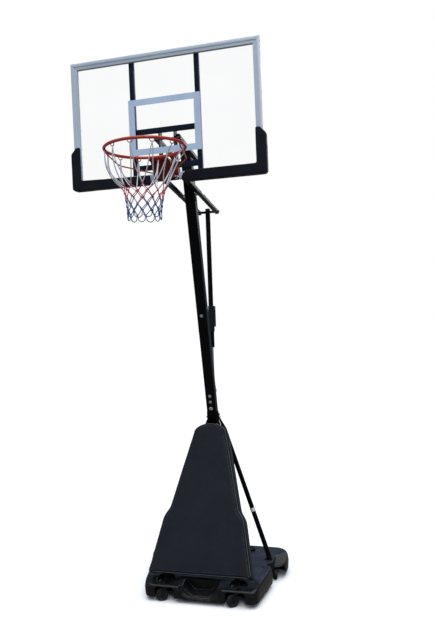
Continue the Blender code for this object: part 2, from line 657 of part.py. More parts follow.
def edge_pad(side, label):
    """A foam channel that wraps the lower corner of the frame from front to back."""
    outer = BOARD_WIDTH / 2 + PAD_SIDE
    bottom = BOARD_BOTTOM - PAD_SIDE
    front, rear = -PAD_WALL, RAIL_DEPTH + PAD_WALL
    wall, side_wall = PAD_WALL - PAD_PLAY, PAD_SIDE - PAD_PLAY
    section = [(0, front), (PAD_COVER, front), (PAD_COVER, front + wall), (side_wall, front + wall),
               (side_wall, rear - wall), (PAD_COVER, rear - wall), (PAD_COVER, rear), (0, rear)]
    inner_end = [at(side * PAD_INNER_END, y, bottom + d) for d, y in section]
    corner = [at(side * (outer - d), y, bottom + d) for d, y in section]
    top_end = [at(side * (outer - d), y, PAD_TOP) for d, y in section]
    channel = skin([inner_end, corner, top_end])
    made = piece(f"edge_pad_{label}", channel, at(side * outer, 0, bottom), PAD_FOAM, board_pivot)
    middle = at(side * UPRIGHT_X, RAIL_DEPTH + 0.030, bottom + 0.05)
    relief = block(middle, (SUPPORT_TUBE + 0.001, 0.059, 0.2))
    combine(made, guide(f"{label} upright relief", relief), "DIFFERENCE")


def build_board():
    left, right = -BOARD_WIDTH / 2, BOARD_WIDTH / 2
    height = BOARD_TOP - BOARD_BOTTOM
    rail("frame_rail_bottom", at(left, 0, BOARD_BOTTOM), X_AXIS, Z_AXIS, BOARD_WIDTH)
    rail("frame_rail_top", at(left, 0, BOARD_TOP), X_AXIS, -Z_AXIS, BOARD_WIDTH)
    rail("frame_rail_left", at(left, 0, BOARD_BOTTOM), Z_AXIS, X_AXIS, height)
    rail("frame_rail_right", at(right, 0, BOARD_BOTTOM), Z_AXIS, -X_AXIS, height)
    inset = RAIL_FACE - 0.0135
    centre = at(0, PANEL_BEHIND + PANEL_THICKNESS / 2, (BOARD_TOP + BOARD_BOTTOM) / 2)
    panel = block(centre, (BOARD_WIDTH - 2 * inset, PANEL_THICKNESS, height - 2 * inset))
    piece("backboard_panel", panel, centre, ACRYLIC, board_pivot)
    behind = RAIL_DEPTH + GAP + SUPPORT_TUBE / 2
    for side, label in ((-1, "left"), (1, "right")):
        edge_pad(side, label)
        low = at(side * UPRIGHT_X, behind, BOARD_BOTTOM + 0.004)
        high = at(side * UPRIGHT_X, behind, BOARD_TOP - 0.004)
        tube = square_tube(low, high, SUPPORT_TUBE, SUPPORT_WALL)
        piece(f"board_upright_{label}", tube, low, NAVY_STEEL, board_pivot)
    reach = UPRIGHT_X - SUPPORT_TUBE / 2 - GAP
    for label, z in (("upper", CROSSBAR_UPPER_Z), ("lower", CROSSBAR_LOWER_Z)):
        tube = square_tube(at(-reach, behind, z), at(reach, behind, z), SUPPORT_TUBE, SUPPORT_WALL)
        piece(f"board_crossbar_{label}", tube, at(0, behind, z), NAVY_STEEL, board_pivot)

    front = 0.038
    behind_bar = RAIL_DEPTH + SUPPORT_TUBE + 2 * GAP
    low_gap, high_gap = CROSSBAR_LOWER_Z + SUPPORT_TUBE / 2 + GAP, CROSSBAR_UPPER_Z - SUPPORT_TUBE / 2 - GAP
    outline = [
        (behind_bar, 2.952), (0.150, 2.957), (0.150, 3.010), (0.114, 3.100), (0.106, 3.285),
        (behind_bar, 3.285),
        (behind_bar, high_gap), (front, high_gap), (front, low_gap), (behind_bar, low_gap),
    ]
    for side, label in ((-1, "left"), (1, "right")):
        x = side * BRACKET_X
        sheet = plate(outline, x - BRACKET_PLATE / 2, x + BRACKET_PLATE / 2)
        bracket = piece(f"arm_bracket_{label}", sheet, at(x, behind_bar, 3.1), NAVY_STEEL, board_pivot)
        cross_drill(bracket, LOWER_FRONT)
        cross_drill(bracket, UPPER_FRONT)
    spacer = (BRACKET_X + BRACKET_PLATE / 2 + 0.0004, ARM_X - ARM_WIDTH / 2 - 0.0004, 0.010)
    reach = ARM_X + ARM_WIDTH / 2 + BOLT_HEAD + GAP
    cross_bolt("board_bolt_lower", LOWER_FRONT, reach, ZINC, board_pivot, [spacer])
    cross_bolt("board_bolt_upper", UPPER_FRONT, reach, ZINC, board_pivot, [spacer])


# --- Rim and net ------------------------------------------------------------------------------------

def build_rim():
    ring_centre = at(0, RING_BEHIND, RIM_HEIGHT)
    around = 48
    rings = []
    for i in range(around):
        a = 2 * math.pi * i / around
        outward = Vector((math.cos(a), math.sin(a), 0))
        rings.append(circle_ring(ring_centre + outward * RING_RADIUS, outward, Z_AXIS, RING_ROD_RADIUS, 8))
    piece("rim_ring", skin(rings, loop=True), ring_centre, RIM_RED, rim_pivot, smooth=True)

    top = RIM_HEIGHT - RING_ROD_RADIUS - GAP
    outside = [(-0.012, top), (-0.150, top), (-0.150, top - 0.006),
               (-0.112, top - 0.012), (-0.058, 2.938), (-0.012, 2.938)]
    inside = [(0.010, top - 0.005), (-0.104, top - 0.005), (-0.104, top - 0.014),
              (-0.054, 2.943), (0.010, 2.943)]
    housing = piece("rim_housing", plate(outside, -0.062, 0.062), HINGE_PIN, SPRING_RED, rim_pivot)
    combine(housing, guide("housing hollow", plate(inside, -0.0575, 0.0575)), "DIFFERENCE")
    drill(housing, "housing pin hole", HINGE_PIN - X_AXIS * 0.1, HINGE_PIN + X_AXIS * 0.1, 0.0056)

    thickness = 0.0045
    back_plate = block(at(0, -GAP - thickness / 2, 2.994), (0.172, thickness, 0.136))
    mount = piece("rim_backplate", back_plate, at(0, 0, 2.994), SPRING_RED, board_pivot)
    lug_outline = [(-GAP - 0.002, 2.953), (-0.016, 2.946), (-0.024, 2.946),
                   (-0.026, 2.956), (-0.020, 2.966), (-GAP - 0.002, 2.972)]
    for side in (-1, 1):
        lug = plate(lug_outline, side * 0.045 - 0.003, side * 0.045 + 0.003)
        combine(mount, guide(f"hinge lug {side}", lug), "UNION")
        stud = cylinder(at(side * 0.026, -0.002, 2.985), at(side * 0.026, -0.066, 2.985), 0.004, 12)
        combine(mount, guide(f"spring stud {side}", stud), "UNION")
        start, end = at(side * 0.026, -0.0055, 2.985), at(side * 0.026, -0.058, 2.985)
        label = "left" if side < 0 else "right"
        coil = pipe(start, end, 0.011, 0.0055, 16)
        piece(f"rim_spring_{label}", coil, start, ZINC, board_pivot, smooth=True)
    drill(mount, "lug pin hole", HINGE_PIN - X_AXIS * 0.1, HINGE_PIN + X_AXIS * 0.1, 0.0056)
    stations = [(0, 0.008), (0.0045, 0.008), (0.0045, 0.005), (0.1295, 0.005), (0.1295, 0.008),
                (0.134, 0.008)]
    pin = turned(HINGE_PIN - X_AXIS * 0.067, HINGE_PIN, stations)
    piece("rim_hinge_pin", pin, HINGE_PIN, ZINC, board_pivot, smooth=True)

    route = [(0.2294, -0.4415, 3.0364), (0.218, -0.290, 3.001), (0.211, -0.251, 2.9935),
             (0.196, -0.228, 2.991), (0.067, -0.045, 2.972)]
    for side, label in ((-1, "left"), (1, "right")):
        curve = bpy.data.curves.new(f"rim_brace_{label}", "CURVE")
        curve.dimensions = "3D"
        curve.bevel_depth = 0.0042
        curve.bevel_resolution = 2
        curve.use_fill_caps = True
        spline = curve.splines.new("POLY")
        spline.points.add(len(route) - 1)
        start = at(side * route[0][0], route[0][1], route[0][2])
        for point, (x, y, z) in zip(spline.points, route):
            point.co = (*(at(side * x, y, z) - start), 1.0)
        brace = bpy.data.objects.new(f"rim_brace_{label}", curve)
        bpy.context.collection.objects.link(brace)
        attach(brace, start, rim_pivot)
        curve.materials.append(RIM_RED)


def build_net():
    """The net as a thin open funnel: a wide mouth under the ring and a narrow neck."""
    profile = [(3.034, 0.2250), (2.960, 0.188), (2.880, 0.158), (2.826, 0.136), (2.748, 0.110),
               (2.628, 0.104)]
    wall = 0.003
    count = 24
    y_axis = Vector((0, 1, 0))
    levels = [(at(0, RING_BEHIND, z), radius) for z, radius in profile]
    outer = [circle_ring(centre, X_AXIS, y_axis, radius, count) for centre, radius in levels]
    inner = [circle_ring(centre, X_AXIS, y_axis, radius - wall, count) for centre, radius in reversed(levels)]
    top = at(0, RING_BEHIND, RIM_HEIGHT)
    piece("net", skin(outer + inner, loop=True), top, NET_CORD, rim_pivot, smooth=True)


build_base()
build_caster("caster_front_left", -FRONT_CASTER[0], FRONT_CASTER[1], 200)
build_caster("caster_front_right", FRONT_CASTER[0], FRONT_CASTER[1], 215)
build_caster("caster_rear_left", -REAR_CASTER[0], REAR_CASTER[1], 250)
build_caster("caster_rear_right", REAR_CASTER[0], REAR_CASTER[1], 285)
build_legs()
build_pole()
build_pole_pad()
build_arms()
build_lift()
build_board()
build_rim()
build_net()
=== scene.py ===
import json
import math
import random

import bmesh
import bpy
from mathutils import Matrix, Vector, noise
from mathutils.bvhtree import BVHTree


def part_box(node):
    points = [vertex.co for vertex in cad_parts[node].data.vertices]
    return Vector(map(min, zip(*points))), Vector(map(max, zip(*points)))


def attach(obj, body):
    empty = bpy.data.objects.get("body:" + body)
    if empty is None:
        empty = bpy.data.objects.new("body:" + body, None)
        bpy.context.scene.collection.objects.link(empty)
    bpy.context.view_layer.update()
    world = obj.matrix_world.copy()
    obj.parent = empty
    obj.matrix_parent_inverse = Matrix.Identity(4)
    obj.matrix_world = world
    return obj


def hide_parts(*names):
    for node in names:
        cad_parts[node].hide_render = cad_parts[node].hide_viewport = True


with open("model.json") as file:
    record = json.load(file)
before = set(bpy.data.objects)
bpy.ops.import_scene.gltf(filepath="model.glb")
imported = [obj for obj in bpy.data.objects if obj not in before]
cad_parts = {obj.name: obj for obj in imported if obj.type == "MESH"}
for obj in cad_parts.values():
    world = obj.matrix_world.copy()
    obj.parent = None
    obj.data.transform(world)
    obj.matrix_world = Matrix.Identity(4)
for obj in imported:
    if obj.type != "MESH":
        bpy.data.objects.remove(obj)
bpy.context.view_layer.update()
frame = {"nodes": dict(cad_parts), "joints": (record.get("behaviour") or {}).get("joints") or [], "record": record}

# --- Key places ---
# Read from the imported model. "Behind" is measured back from the front of the board frame.

X = Vector((1, 0, 0))
Y = Vector((0, 1, 0))
Z = Vector((0, 0, 1))
SIDES = ((-1, "left"), (1, "right"))

joints = {joint["name"]: joint for joint in frame["joints"]}
LOWER_PIVOT = Vector(joints["arm_lift"]["pos_m"])
UPPER_PIVOT = Vector(joints["upper_arm_swing"]["pos_m"])
LOWER_FRONT = Vector(joints["board_level"]["pos_m"])
LIFT_TOP = Vector(joints["lift_tube_swing"]["pos_m"])
HINGE_PIN = Vector(joints["rim_breakaway"]["pos_m"])
POLE_UP = (UPPER_PIVOT - LOWER_PIVOT).normalized()
POLE_BACK = X.cross(POLE_UP) * -1
ARM_BACK = (LOWER_PIVOT - LOWER_FRONT).normalized()
UPPER_FRONT = UPPER_PIVOT - (LOWER_PIVOT - LOWER_FRONT)
BOARD_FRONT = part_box("frame_rail_top")[0].y
BOARD_LEFT, BOARD_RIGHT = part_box("frame_rail_left")[0].x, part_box("frame_rail_right")[1].x
BOARD_LOW, BOARD_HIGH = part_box("frame_rail_bottom")[0].z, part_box("frame_rail_top")[1].z
RING_LOW, RING_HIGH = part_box("rim_ring")
RING_ROD = (RING_HIGH.z - RING_LOW.z) / 2
RING_CENTRE = (RING_LOW + RING_HIGH) / 2
RING_RADIUS = (RING_HIGH.x - RING_LOW.x) / 2 - RING_ROD
LIFT_FOOT = Vector((0, BOARD_FRONT + 0.995, 1.433))
LIFT_DOWN = (LIFT_FOOT - LIFT_TOP).normalized()
LIFT_BACK = X.cross(LIFT_DOWN).normalized()
BASE_TOP = 0.150
TANK_SEAM = 0.092
JOINT = Vector((0, BOARD_FRONT + 0.945, 1.227))


def at(x, behind, z):
    return Vector((x, BOARD_FRONT + behind, z))


def on_pole(z, back=0.0, x=0.0):
    return LOWER_PIVOT + POLE_UP * ((z - LOWER_PIVOT.z) / POLE_UP.z) + POLE_BACK * back + X * x


def along_lift(distance, back=0.0, x=0.0):
    return LIFT_TOP + LIFT_DOWN * distance + LIFT_BACK * back + X * x


# --- Materials ---
# Object coordinates are metres, so a noise scale is a number of cells per metre.

class Finish:
    """One node material, built a texture at a time."""

    def __init__(self, name):
        self.material = bpy.data.materials.new(name)
        self.material.use_nodes = True
        self.tree = self.material.node_tree
        self.shader = self.tree.nodes["Principled BSDF"]
        self.place = self.add("TexCoord").outputs["Object"]

    def add(self, kind, inputs=None, **settings):
        node = self.tree.nodes.new("ShaderNode" + kind)
        for key, value in settings.items():
            setattr(node, key, value)
        for key, value in (inputs or {}).items():
            self.put(node.inputs[key], value)
        return node

    def put(self, socket, value):
        if isinstance(value, bpy.types.NodeSocket):
            self.tree.links.new(value, socket)
        else:
            socket.default_value = value

    def set(self, name, value):
        self.put(self.shader.inputs[name], value)

    def stretched(self, scale, vector=None):
        return self.add("Mapping", {"Vector": vector or self.place, "Scale": scale}).outputs["Vector"]

    def noise(self, scale, detail=3.0, rough=0.5, vector=None):
        made = self.add("TexNoise", {"Scale": scale, "Detail": detail, "Roughness": rough,
                                     "Vector": vector or self.place})
        return made.outputs["Fac"]

    def cells(self, scale, feature):
        made = self.add("TexVoronoi", {"Scale": scale, "Vector": self.place}, feature=feature)
        return made.outputs["Distance"]

    def wave(self, direction, scale, distortion, vector=None):
        inputs = {"Scale": scale, "Distortion": distortion, "Detail": 1.0, "Vector": vector or self.place}
        return self.add("TexWave", inputs, wave_type="BANDS", bands_direction=direction).outputs["Fac"]

    def level(self):
        """1 where the surface faces straight up."""
        return self.add("SeparateXYZ", {0: self.add("NewGeometry").outputs["Normal"]}).outputs["Z"]

    def span(self, value, low, high, to_low=0.0, to_high=1.0):
        made = self.add("MapRange", {"Value": value, "From Min": low, "From Max": high,
                                     "To Min": to_low, "To Max": to_high})
        return made.outputs["Result"]

    def math(self, operation, a, b=0.0):
        return self.add("Math", {0: a, 1: b}, operation=operation).outputs[0]

    def mix(self, share, a, b):
        made = self.add("Mix", {"Factor": share}, data_type="RGBA")
        self.put(made.inputs[6], a if isinstance(a, bpy.types.NodeSocket) else (*a, 1.0))
        self.put(made.inputs[7], b if isinstance(b, bpy.types.NodeSocket) else (*b, 1.0))
        return made.outputs[2]

    def bump(self, height, depth, normal=None):
        inputs = {"Height": height, "Strength": 1.0, "Distance": depth}
        if normal is not None:
            inputs["Normal"] = normal
        return self.add("Bump", inputs).outputs["Normal"]

    def edges(self, radius):
        """1 along the piece's sharp outer edges and 0 on its flat faces."""
        soft = self.add("Bevel", {"Radius": radius}, samples=4).outputs["Normal"]
        plain = self.add("NewGeometry").outputs["Normal"]
        facing = self.add("VectorMath", {0: soft, 1: plain}, operation="DOT_PRODUCT").outputs["Value"]
        return self.span(facing, 0.99, 0.86)


def hard(name, dark, light, roughness, metallic=0.0, specular=0.5, grain=(600, 0.0002), patch=9.0,
         wear=None, wear_radius=0.002, coat=0.0, scratch=0.0, stretch=(1, 1, 1), dust=None):
    """A hard surface: patchy colour, a fine grain, rubbed edges, hairline scratches and settled dust."""
    made = Finish(name)
    where = made.stretched(stretch)
    blotch = made.span(made.noise(patch, 4, 0.6), 0.35, 0.68)
    colour = made.mix(blotch, dark, light)
    uneven = made.noise(patch * 3.1, 5, 0.65, where)
    rough = made.span(uneven, 0.3, 0.72, roughness * 0.82, roughness * 1.22)
    normal = made.bump(made.noise(grain[0], 2, 0.5, where), grain[1])
    if scratch:
        thin = made.noise(42, 6, 0.7, made.stretched((1.0, 1.3, 14.0)))
        line = made.math("MULTIPLY", made.span(thin, 0.62, 0.70), scratch)
        colour = made.mix(line, colour, [min(1.0, c * 3 + 0.08) for c in light])
    if wear:
        chips = made.span(made.noise(60, 5, 0.7), 0.46, 0.6)
        rubbed = made.math("MULTIPLY", made.edges(wear_radius), chips)
        colour = made.mix(rubbed, colour, wear)
    if dust:
        clumps = made.span(made.noise(14, 6, 0.7), 0.42, 0.75)
        settled = made.math("MULTIPLY", made.span(made.level(), 0.6, 1.0), clumps)
        colour = made.mix(made.math("MULTIPLY", settled, dust), colour, (0.35, 0.35, 0.36))
    made.set("Base Color", colour)
    made.set("Roughness", rough)
    made.set("Metallic", metallic)
    made.set("Specular IOR Level", specular)
    made.set("Normal", normal)
    if coat:
        made.set("Coat Weight", coat)
        made.set("Coat Roughness", 0.12)
    return made


BLACK_STEEL = hard("black powder coat", (0.0016, 0.0017, 0.0022), (0.0032, 0.0034, 0.0042), 0.34, 0.0, 0.08,
                   (820, 0.00010), 6, wear=(0.05, 0.05, 0.055), scratch=0.10, dust=0.05).material
NAVY_STEEL = hard("navy paint", (0.0045, 0.0120, 0.0330), (0.0080, 0.0180, 0.0450), 0.36, 0.0, 0.08,
                  (760, 0.00010), 7, wear=(0.07, 0.08, 0.11), scratch=0.03, dust=0.03).material
RIM_RED = hard("orange-red powder coat", (0.40, 0.026, 0.009), (0.52, 0.045, 0.014), 0.32, 0.0, 0.4,
               (900, 0.00008), 12, wear=(0.34, 0.07, 0.04), wear_radius=0.0015, coat=0.08,
               scratch=0.05).material
SPRING_RED = hard("dark red powder coat", (0.105, 0.006, 0.005), (0.160, 0.011, 0.008), 0.36, 0.0, 0.2,
                  (850, 0.00010), 14, wear=(0.26, 0.06, 0.05), coat=0.03, scratch=0.08, dust=0.05).material
ZINC = hard("zinc plate", (0.52, 0.53, 0.55), (0.72, 0.72, 0.70), 0.28, 1.0, 0.5,
            (1400, 0.00006), 45, wear=(0.85, 0.85, 0.85), wear_radius=0.0008, scratch=0.1).material
CHROME = hard("satin chrome", (0.62, 0.60, 0.68), (0.74, 0.72, 0.78), 0.16, 1.0, 0.5,
              (1600, 0.00002), 30, scratch=0.12, stretch=(1, 1, 0.05)).material
NYLON = hard("black nylon", (0.0055, 0.0057, 0.0065), (0.0110, 0.0113, 0.0125), 0.48, 0.0, 0.18,
             (1500, 0.00012), 20, wear=(0.06, 0.06, 0.06), wear_radius=0.0012).material
WHEEL = hard("grey wheel plastic", (0.012, 0.012, 0.013), (0.024, 0.024, 0.025), 0.5, 0.0, 0.25,
             (1200, 0.00018), 26, wear=(0.10, 0.10, 0.10), wear_radius=0.0016, scratch=0.2).material
TRIGGER = hard("red trigger plastic", (0.46, 0.010, 0.008), (0.58, 0.022, 0.016), 0.26, 0.0, 0.5,
               (1300, 0.00005), 25, wear=(0.62, 0.09, 0.07), wear_radius=0.001, coat=0.3).material
WATER = hard("ballast water", (0.20, 0.32, 0.38), (0.28, 0.40, 0.46), 0.08, 0.0, 0.5,
             (40, 0.0003), 5).material


def silver_finish():
    """Clear-anodised aluminium: long drawing lines, a cool tint and slightly darker patches."""
    made = Finish("silver anodised aluminium")
    parts = made.add("SeparateXYZ", {0: made.place})
    side_rail = 0.590
    across = made.math("ADD", made.math("ABSOLUTE", parts.outputs["X"]), -side_rail)
    upright = made.math("GREATER_THAN", across, 0.0)
    level = made.noise(180, 3, 0.6, made.stretched((0.02, 1, 3.4)))
    stood = made.noise(180, 3, 0.6, made.stretched((3.4, 1, 0.02)))
    lines = made.add("Mix", {0: upright, 2: level, 3: stood}, data_type="FLOAT").outputs[0]
    patch = made.span(made.noise(5, 4, 0.6), 0.3, 0.7)
    colour = made.mix(patch, (0.60, 0.685, 0.775), (0.69, 0.765, 0.840))
    colour = made.mix(made.span(lines, 0.35, 0.75, 0.0, 0.32), colour, (0.70, 0.76, 0.81))
    rubbed = made.math("MULTIPLY", made.edges(0.0016), made.span(made.noise(50, 4, 0.7), 0.4, 0.6))
    made.set("Base Color", made.mix(rubbed, colour, (0.74, 0.76, 0.78)))
    made.set("Roughness", made.span(lines, 0.3, 0.7, 0.34, 0.46))
    made.set("Metallic", 0.45)
    made.set("Normal", made.bump(lines, 0.00005))
    return made.material


ACRYLIC_IOR = 1.49


def acrylic_finish():
    """Clear sheet: see-through apart from its reflections, faint haze and a few hairline scratches."""
    made = Finish("clear acrylic")
    output = made.tree.nodes["Material Output"]
    clear = made.add("BsdfTransparent", {"Color": (0.995, 0.998, 1.0, 1.0)})
    haze = made.span(made.noise(3.0, 4, 0.6), 0.35, 0.75, 0.0, 0.012)
    scuffs = made.span(made.noise(55, 6, 0.75, made.stretched((1.0, 1.0, 0.12))), 0.66, 0.72, 0.0, 0.035)
    made.set("Base Color", made.mix(made.noise(2.0), (0.12, 0.14, 0.16), (0.18, 0.20, 0.23)))
    made.set("Roughness", made.span(made.noise(7.0), 0.3, 0.7, 0.03, 0.09))
    made.set("IOR", ACRYLIC_IOR)
    made.set("Normal", made.bump(made.noise(1.6, 1), 0.0006))
    gloss = made.span(made.add("Fresnel", {"IOR": ACRYLIC_IOR}).outputs[0], 0.0, 1.0, 0.0, 0.5)
    share = made.math("ADD", made.math("ADD", gloss, haze), scuffs)
    mixed = made.add("MixShader", {0: share, 1: clear.outputs[0], 2: made.shader.outputs[0]})
    made.put(output.inputs["Surface"], mixed.outputs[0])
    return made.material


def paint_finish():
    """Screen-printed pale ink on the panel: faint mesh marks and tiny thin spots."""
    made = Finish("printed pale blue paint")
    mesh = made.cells(700, "F1")
    thin = made.span(made.noise(160, 4, 0.7), 0.58, 0.74, 0.0, 0.35)
    colour = made.mix(made.span(made.noise(10, 3), 0.3, 0.7), (0.47, 0.60, 0.80), (0.55, 0.68, 0.87))
    made.set("Base Color", made.mix(thin, colour, (0.60, 0.70, 0.82)))
    made.set("Roughness", made.span(made.noise(40), 0.3, 0.7, 0.38, 0.52))
    made.set("Normal", made.bump(mesh, 0.00006))
    return made.material


def foam_skin_finish():
    """Moulded foam with a tough black skin: pebbled grain and scuffed corners."""
    made = Finish("black moulded foam skin")
    pebbles = made.cells(620, "SMOOTH_F1")
    fine = made.noise(1500, 2)
    height = made.math("ADD", pebbles, made.math("MULTIPLY", fine, 0.4))
    blotch = made.span(made.noise(11, 5, 0.6), 0.35, 0.7)
    colour = made.mix(blotch, (0.0055, 0.0068, 0.0115), (0.0095, 0.0112, 0.0180))
    rub = made.span(made.noise(70, 5, 0.7), 0.5, 0.64, 0.0, 0.5)
    scuff = made.math("MULTIPLY", made.edges(0.006), rub)
    made.set("Base Color", made.mix(scuff, colour, (0.038, 0.042, 0.050)))
    made.set("Roughness", made.span(made.noise(30, 4), 0.3, 0.7, 0.44, 0.60))
    made.set("Specular IOR Level", 0.12)
    made.set("Normal", made.bump(height, 0.00022))
    return made.material


def vinyl_finish():
    """Coated fabric: a woven backing that shows through a leather-grained skin."""
    made = Finish("dark grained vinyl")
    weave = made.math("MULTIPLY", made.wave("X", 52, 0.6), made.wave("Z", 52, 0.6))
    crease = made.span(made.cells(360, "DISTANCE_TO_EDGE"), 0.0, 0.12)
    crumple = made.noise(24, 6, 0.6)
    height = made.math("ADD", made.math("MULTIPLY", crease, 0.5), made.math("MULTIPLY", weave, 0.6))
    blotch = made.span(made.noise(5, 5, 0.65), 0.32, 0.70)
    colour = made.mix(blotch, (0.0070, 0.0088, 0.0125), (0.0115, 0.0140, 0.0190))
    colour = made.mix(made.span(weave, 0.2, 0.9, 0.0, 0.45), colour, (0.0170, 0.0205, 0.0270))
    rub = made.span(made.noise(17, 6, 0.75), 0.60, 0.78, 0.0, 0.30)
    made.set("Base Color", made.mix(rub, colour, (0.022, 0.025, 0.030)))
    made.set("Roughness", made.span(made.noise(38, 4), 0.3, 0.7, 0.42, 0.60))
    made.set("Specular IOR Level", 0.10)
    made.set("Sheen Weight", 0.02)
    made.set("Sheen Roughness", 0.5)
    made.set("Normal", made.bump(crumple, 0.0012, made.bump(height, 0.00028)))
    return made.material


def tank_finish():
    """Blow-moulded plastic: fine pebbling, a mould seam, a painted bluish sky reflection in patches on the level
    rear top, faded out towards the front where the pole pad's shade falls, and a scuffed foot.
    """
    made = Finish("black blow-moulded plastic")
    parts = made.add("SeparateXYZ", {0: made.place})
    height = parts.outputs["Z"]
    pebble = made.noise(900, 3, 0.6)
    orange = made.noise(70, 3, 0.5)
    from_seam = made.math("ABSOLUTE", made.math("SUBTRACT", height, TANK_SEAM))
    seam = made.span(from_seam, 0.0, 0.0022, 1.0, 0.0)
    low = made.span(height, 0.075, 0.030)
    scuff = made.math("MULTIPLY", low, made.span(made.noise(46, 6, 0.75), 0.50, 0.66))
    blotch = made.span(made.noise(7, 5, 0.6), 0.34, 0.68)
    colour = made.mix(blotch, (0.0055, 0.0058, 0.0068), (0.0100, 0.0102, 0.0115))
    colour = made.mix(made.math("MULTIPLY", scuff, 0.6), colour, (0.070, 0.066, 0.060))
    # Painted light: level top faces get a bluish sky reflection painted into the colour, in patches. It is held
    # back towards the front as painted shade from the pole pad.
    sheen_patches = made.span(made.noise(9, 6, 0.7), 0.36, 0.72, 0.15, 0.75)
    painted_sky_sheen = made.math("MULTIPLY", made.span(made.level(), 0.962, 0.992), sheen_patches)
    out_of_pad_shade = made.span(parts.outputs["Y"], 0.13, 0.30, 0.0, 0.32)
    colour = made.mix(made.math("MULTIPLY", painted_sky_sheen, out_of_pad_shade), colour, (0.110, 0.140, 0.205))
    chips = made.span(made.noise(40, 5, 0.7), 0.5, 0.62, 0.0, 0.3)
    rubbed = made.math("MULTIPLY", made.edges(0.008), chips)
    made.set("Base Color", made.mix(rubbed, colour, (0.040, 0.040, 0.042)))
    made.set("Roughness", made.span(made.noise(16, 5, 0.65), 0.3, 0.7, 0.17, 0.30))
    made.set("Specular IOR Level", 0.20)
    inner = made.bump(pebble, 0.00016, made.bump(orange, 0.0009))
    made.set("Normal", made.bump(seam, 0.0010, inner))
    return made.material


def cord_finish(name, dark, light):
    """Braided cord: the plait follows the strand, with a soft fuzz over it."""
    made = Finish(name)
    along = made.add("UVMap", uv_map="strand").outputs["UV"]
    plaits = []
    for lean in (0.6, -0.6):
        leaning = made.add("Mapping", {"Vector": along, "Rotation": (0, 0, lean)}).outputs["Vector"]
        plaits.append(made.wave("X", 1.0, 0.4, leaning))
    braid = made.math("MAXIMUM", *plaits)
    soil = made.span(made.noise(60, 5, 0.7), 0.4, 0.75, 0.0, 0.35)
    colour = made.mix(made.span(braid, 0.35, 0.95), dark, light)
    made.set("Base Color", made.mix(soil, colour, [c * 0.78 for c in light]))
    made.set("Roughness", made.span(made.noise(300), 0.3, 0.7, 0.80, 0.95))
    made.set("Sheen Weight", 0.25)
    made.set("Sheen Roughness", 0.4)
    made.set("Normal", made.bump(braid, 0.0005, made.bump(made.noise(2600, 3), 0.00015)))
    return made.material


SILVER = silver_finish()
ACRYLIC = acrylic_finish()
PAINT = paint_finish()
FOAM_SKIN = foam_skin_finish()
VINYL = vinyl_finish()
TANK = tank_finish()
CORD_WHITE = cord_finish("white net cord", (0.46, 0.47, 0.51), (0.78, 0.79, 0.83))
CORD_RED = cord_finish("red net cord", (0.36, 0.030, 0.070), (0.66, 0.095, 0.170))
CORD_BLUE = cord_finish("blue net cord", (0.020, 0.060, 0.20), (0.065, 0.155, 0.42))
THREAD = cord_finish("grey sewing thread", (0.05, 0.055, 0.065), (0.13, 0.14, 0.155))
PALE_WRAP = hard("pale wrap", (0.58, 0.59, 0.60), (0.72, 0.73, 0.74), 0.45, 0.0, 0.5,
                 (1200, 0.0001)).material
PIPING = hard("vinyl piping", (0.036, 0.040, 0.046), (0.062, 0.068, 0.076), 0.40, 0.0, 0.4,
              (900, 0.00012), 30, wear=(0.16, 0.17, 0.18), wear_radius=0.002).material

NODE_FINISH = {
    "black_steel": BLACK_STEEL, "navy_steel": NAVY_STEEL, "silver_aluminium": SILVER,
    "clear_acrylic": ACRYLIC, "edge_pad_foam": FOAM_SKIN, "rim_orange": RIM_RED,
    "dark_red_steel": SPRING_RED, "zinc_steel": ZINC, "chromed_steel": CHROME, "net_cord": CORD_WHITE,
    "dark_vinyl": VINYL, "black_tank_plastic": TANK, "ballast_water": WATER, "black_nylon": NYLON,
    "grey_wheel_plastic": WHEEL, "red_plastic": TRIGGER,
}
NODE_SLOT = {part["node"]: part["material_slot"] for part in frame["record"]["subparts"]}
for node_name, node in frame["nodes"].items():
    for material_slot in node.material_slots:
        material_slot.link = "OBJECT"
        material_slot.material = NODE_FINISH[NODE_SLOT[node_name]]


# --- Mesh helpers ---
# Every mesh is made where it belongs, in the row frame.

def placed(name, data):
    made = bpy.data.objects.new(name, data)
    bpy.context.scene.collection.objects.link(made)
    return made


def mesh_from(name, bm):
    mesh = bpy.data.meshes.new(name)
    bm.to_mesh(mesh)
    bm.free()
    return mesh


def skin(rings, loop=False):
    """Join matching rings of points with quads."""
    bm = bmesh.new()
    loops = [[bm.verts.new(point) for point in ring] for ring in rings]
    pairs = list(zip(loops, loops[1:]))
    if loop:
        pairs.append((loops[-1], loops[0]))
    for lower, upper in pairs:
        for i in range(len(lower)):
            j = (i + 1) % len(lower)
            bm.faces.new((lower[i], lower[j], upper[j], upper[i]))
    if not loop:
        bm.faces.new(loops[0])
        bm.faces.new(loops[-1])
    return bm


def absorb(bm, other):
    """Move another bmesh's faces into bm."""
    mesh = mesh_from("part", other)
    bm.from_mesh(mesh)
    bpy.data.meshes.remove(mesh)


def rounded(half_u, half_v, radius, steps=4):
    """A rectangle with round corners, as (u, v) pairs."""
    points = []
    for quarter, (su, sv) in enumerate(((1, 1), (-1, 1), (-1, -1), (1, -1))):
        for k in range(steps + 1):
            a = math.pi / 2 * (quarter + k / steps)
            u = su * (half_u - radius) + radius * math.cos(a)
            v = sv * (half_v - radius) + radius * math.sin(a)
            points.append((u, v))
    return points


def ring_at(centre, u, v, section):
    return [centre + u * a + v * b for a, b in section]


def circle(radius, count):
    return [(radius * math.cos(2 * math.pi * i / count), radius * math.sin(2 * math.pi * i / count))
            for i in range(count)]


def square_to(direction):
    side = X if abs(direction.dot(X)) < 0.9 else Y
    v = direction.cross(side).normalized()
    return v.cross(direction).normalized(), v


def lathe(start, direction, profile, count=32, loop=False):
    """A round shape: the profile is a list of (distance, radius)."""
    u, v = square_to(direction)
    rings = [ring_at(start + direction * s, u, v, circle(max(r, 1e-5), count)) for s, r in profile]
    return skin(rings, loop)


